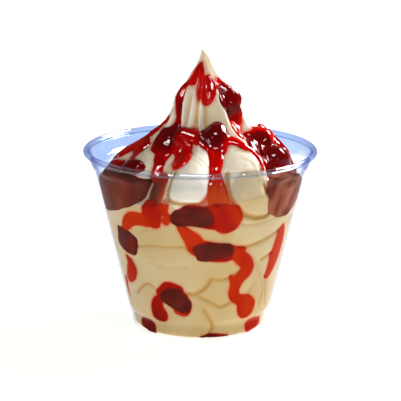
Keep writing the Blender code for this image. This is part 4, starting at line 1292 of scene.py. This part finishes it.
# rings that run along the wall and back along the swirl; height and depth fall off towards
# the two ends as the square root of 1 - (2s - 1)^4
def buildPool(side):
    ends, bottoms, tops, deep, darkness = pools[side]
    share = np.linspace(0.0, 1.0, pools["columns"])
    angle = np.linspace(*ends, pools["columns"])
    bottom = np.interp(share, (0, 0.5, 1), bottoms)
    top = np.interp(share, (0, 0.5, 1), tops)
    roundOff = np.sqrt(np.clip(1.0 - (2.0 * share - 1.0) ** 4, 0.0, 1.0))
    waist = bottom + (top - bottom) * pools["waist"]
    bottom = waist + (bottom - waist) * np.maximum(roundOff, pools["endHeight"])
    top = waist + (top - waist) * np.maximum(roundOff, pools["endHeight"])
    falls = pools["filmFalls"] * smoothStep(*pools["filmFallsAt"], np.abs(turned(angle)))
    filmTop = waist + (pools["filmTo"] - falls - waist) * np.sqrt(roundOff)
    filmTop = np.maximum(top + pools["filmOver"], filmTop)
    edge = np.stack([wallInside(bottom) * np.radians(angle), 0.0 * bottom, 0.0 * bottom], axis=-1)
    bottom = bottom + unevenness(edge, *pools["bottomWaves"]) * roundOff
    filmTop = filmTop + unevenness(edge, *pools["filmWaves"]) * roundOff
    layer = np.linspace(0.0, 1.0, pools["layers"])[:, None]
    height = bottom + (filmTop - bottom) * layer
    share = np.clip((height - bottom) / (top - bottom), 0.0, 1.0)
    limit = wallInside(height)
    food = heldInWall(freePoints(angle[None, :] + 0.0 * height, height), -pools["foodGap"])
    depth = deep * (pools["bottomDepth"] + (1.0 - pools["bottomDepth"]) * share)
    depth = depth * np.maximum(roundOff, pools["endDepth"])
    depth = depth + (pools["filmDepth"] - depth) * smoothStep(*pools["filmAt"], height - top)
    inFood = np.hypot(food[..., 0], food[..., 1]) - pools["reachIntoFood"]
    inner = np.minimum(inFood, limit - depth)
    turn = np.radians(angle)[None, :]
    outer = limit + pools["proud"]
    front = np.stack([np.sin(turn) * outer, -np.cos(turn) * outer, height], axis=-1)
    back = np.stack([np.sin(turn) * inner, -np.cos(turn) * inner, height], axis=-1)
    rings = np.concatenate([front, back[:, ::-1]], axis=1)
    layers, count = rings.shape[:2]
    half = np.arange(count // 2 - 1)
    across = count - 1 - half
    low = np.stack([half, across, across - 1, half + 1], axis=-1)
    high = np.roll(low[:, ::-1], 1, axis=1) + (layers - 1) * count
    faces = np.vstack([ringQuads(layers, count), low, high]).tolist()
    points = rings.reshape(-1, 3)
    dark = darkness + unevenness(points * pools["mottleRates"], *pools["mottle"])
    makePiece("saucePool" + side.capitalize(), points, faces, finishes["pool"],
              ["sauce_pool_" + side], {"depth": dark})


for side in poolSides:
    buildPool(side)
print("stage: pools filled")


# ---- floor, light and camera

stage = {
    "floorSize": 9000.0,
    "floorHeight": -0.05,
    "floorColours": (colour(0.62, 0.62, 0.62), colour(0.66, 0.66, 0.66)),
    "floorGlow": 0.8,
    "worldColour": colour(1.0, 0.86, 0.66),
    "worldStrength": 0.15,
    # place, aim, size, power in watts and colour
    "lamps": {
        "keySoftbox": ((560, 400, 640), (0, 0, 70), (160, 160), 10.0, (1.0, 0.97, 0.93)),
        "windowFront": ((550, -590, 480), (0, 0, 70), (60, 80), 1.0, (1.0, 0.96, 0.90)),
        "fillSoftbox": ((-430, -720, 640), (0, 0, 60), (80, 60), 2.3, (1.0, 0.93, 0.80)),
    },
    # two large softboxes and two thin strips that show in what is glossy and light nothing else
    "glossLamps": {
        "glossRight": ((560, 420, 640), (0, 0, 75), (480, 340), 30.0, (1.0, 1.0, 1.0)),
        "streakHigh": ((850, -100, 186), (-30, 20, 66), (700, 5), 0.3, (1.0, 1.0, 1.0)),
        "streakLow": ((850, -100, 174), (-30, 20, 66), (700, 5), 0.3, (1.0, 1.0, 1.0)),
        "glossSoftbox": ((-60, -420, 900), (0, 0, 75), (330, 200), 15.0, (1.0, 1.0, 1.0)),
    },
}


def buildFloor():
    f = Finish("paleFloor")
    grain = f.noise(9.0, 4.0, 0.5)
    shader = f.principled({
        "Base Color": f.mixColour(grain, *stage["floorColours"]),
        "Emission Color": colour(0.97, 0.99, 1.0),
        "Emission Strength": stage["floorGlow"],
        "Roughness": 0.6,
        "Specular IOR Level": 0.1,
    })
    half = stage["floorSize"] / 2
    corners = [
        (x, y, stage["floorHeight"])
        for x, y in ((-half, -half), (half, -half), (half, half), (-half, half))
    ]
    floor = makeMesh("floor", corners, [(0, 1, 2, 3)], f.shown(shader))


# the matrix of a lamp or camera that stands at a place and looks away from its back
def standing(right, up, back, place):
    rows = [(right[i], up[i], back[i], place[i] * mm) for i in range(3)]
    return Matrix(rows + [(0.0, 0.0, 0.0, 1.0)])


def buildLight():
    world = bpy.data.worlds.new("studio")
    world.use_nodes = True
    shade = world.node_tree.nodes["Background"]
    shade.inputs["Color"].default_value = stage["worldColour"]
    shade.inputs["Strength"].default_value = stage["worldStrength"]
    bpy.context.scene.world = world
    lamps = {**stage["lamps"], **stage["glossLamps"]}
    for name, (place, aim, size, power, tint) in lamps.items():
        lamp = bpy.data.lights.new(name, "AREA")
        lamp.shape = "RECTANGLE"
        lamp.size = size[0] * mm
        lamp.size_y = size[1] * mm
        lamp.energy = power
        lamp.color = tint
        item = bpy.data.objects.new(name, lamp)
        back = np.array(place, float) - np.array(aim, float)
        back = back / np.linalg.norm(back)
        right = np.cross((0.0, 0.0, 1.0), back)
        right = right / np.linalg.norm(right)
        item.matrix_world = standing(right, np.cross(back, right), back, place)
        item.visible_diffuse = name in stage["lamps"]
        bpy.context.scene.collection.objects.link(item)


view = {
    "down": 13.94,  # degrees that the camera looks down
    "roll": -0.33,
    "place": (0.22, -970.6, 290.5),
    "focus": 2533.2,  # in pixels of a frame 401 wide
    "frameWidth": 401.0,
    "sensor": 36.0,
    "clip": (0.01, 50.0),
}


def buildCamera():
    down = math.radians(view["down"])
    roll = math.radians(view["roll"])
    ahead = np.array([0.0, math.cos(down), -math.sin(down)])
    side = np.array([1.0, 0.0, 0.0])
    above = np.cross(side, ahead)
    right = math.cos(roll) * side - math.sin(roll) * above
    up = math.sin(roll) * side + math.cos(roll) * above
    data = bpy.data.cameras.new("photoCamera")
    data.sensor_width = view["sensor"]
    data.lens = view["focus"] / view["frameWidth"] * view["sensor"]
    data.clip_start, data.clip_end = view["clip"]
    camera = bpy.data.objects.new("photoCamera", data)
    camera.matrix_world = standing(right, up, -ahead, view["place"])
    bpy.context.scene.collection.objects.link(camera)
    bpy.context.scene.camera = camera


buildFloor()
buildLight()
buildCamera()
bpy.context.scene.view_settings.view_transform = "Standard"
print("stage: floor, light and camera set")
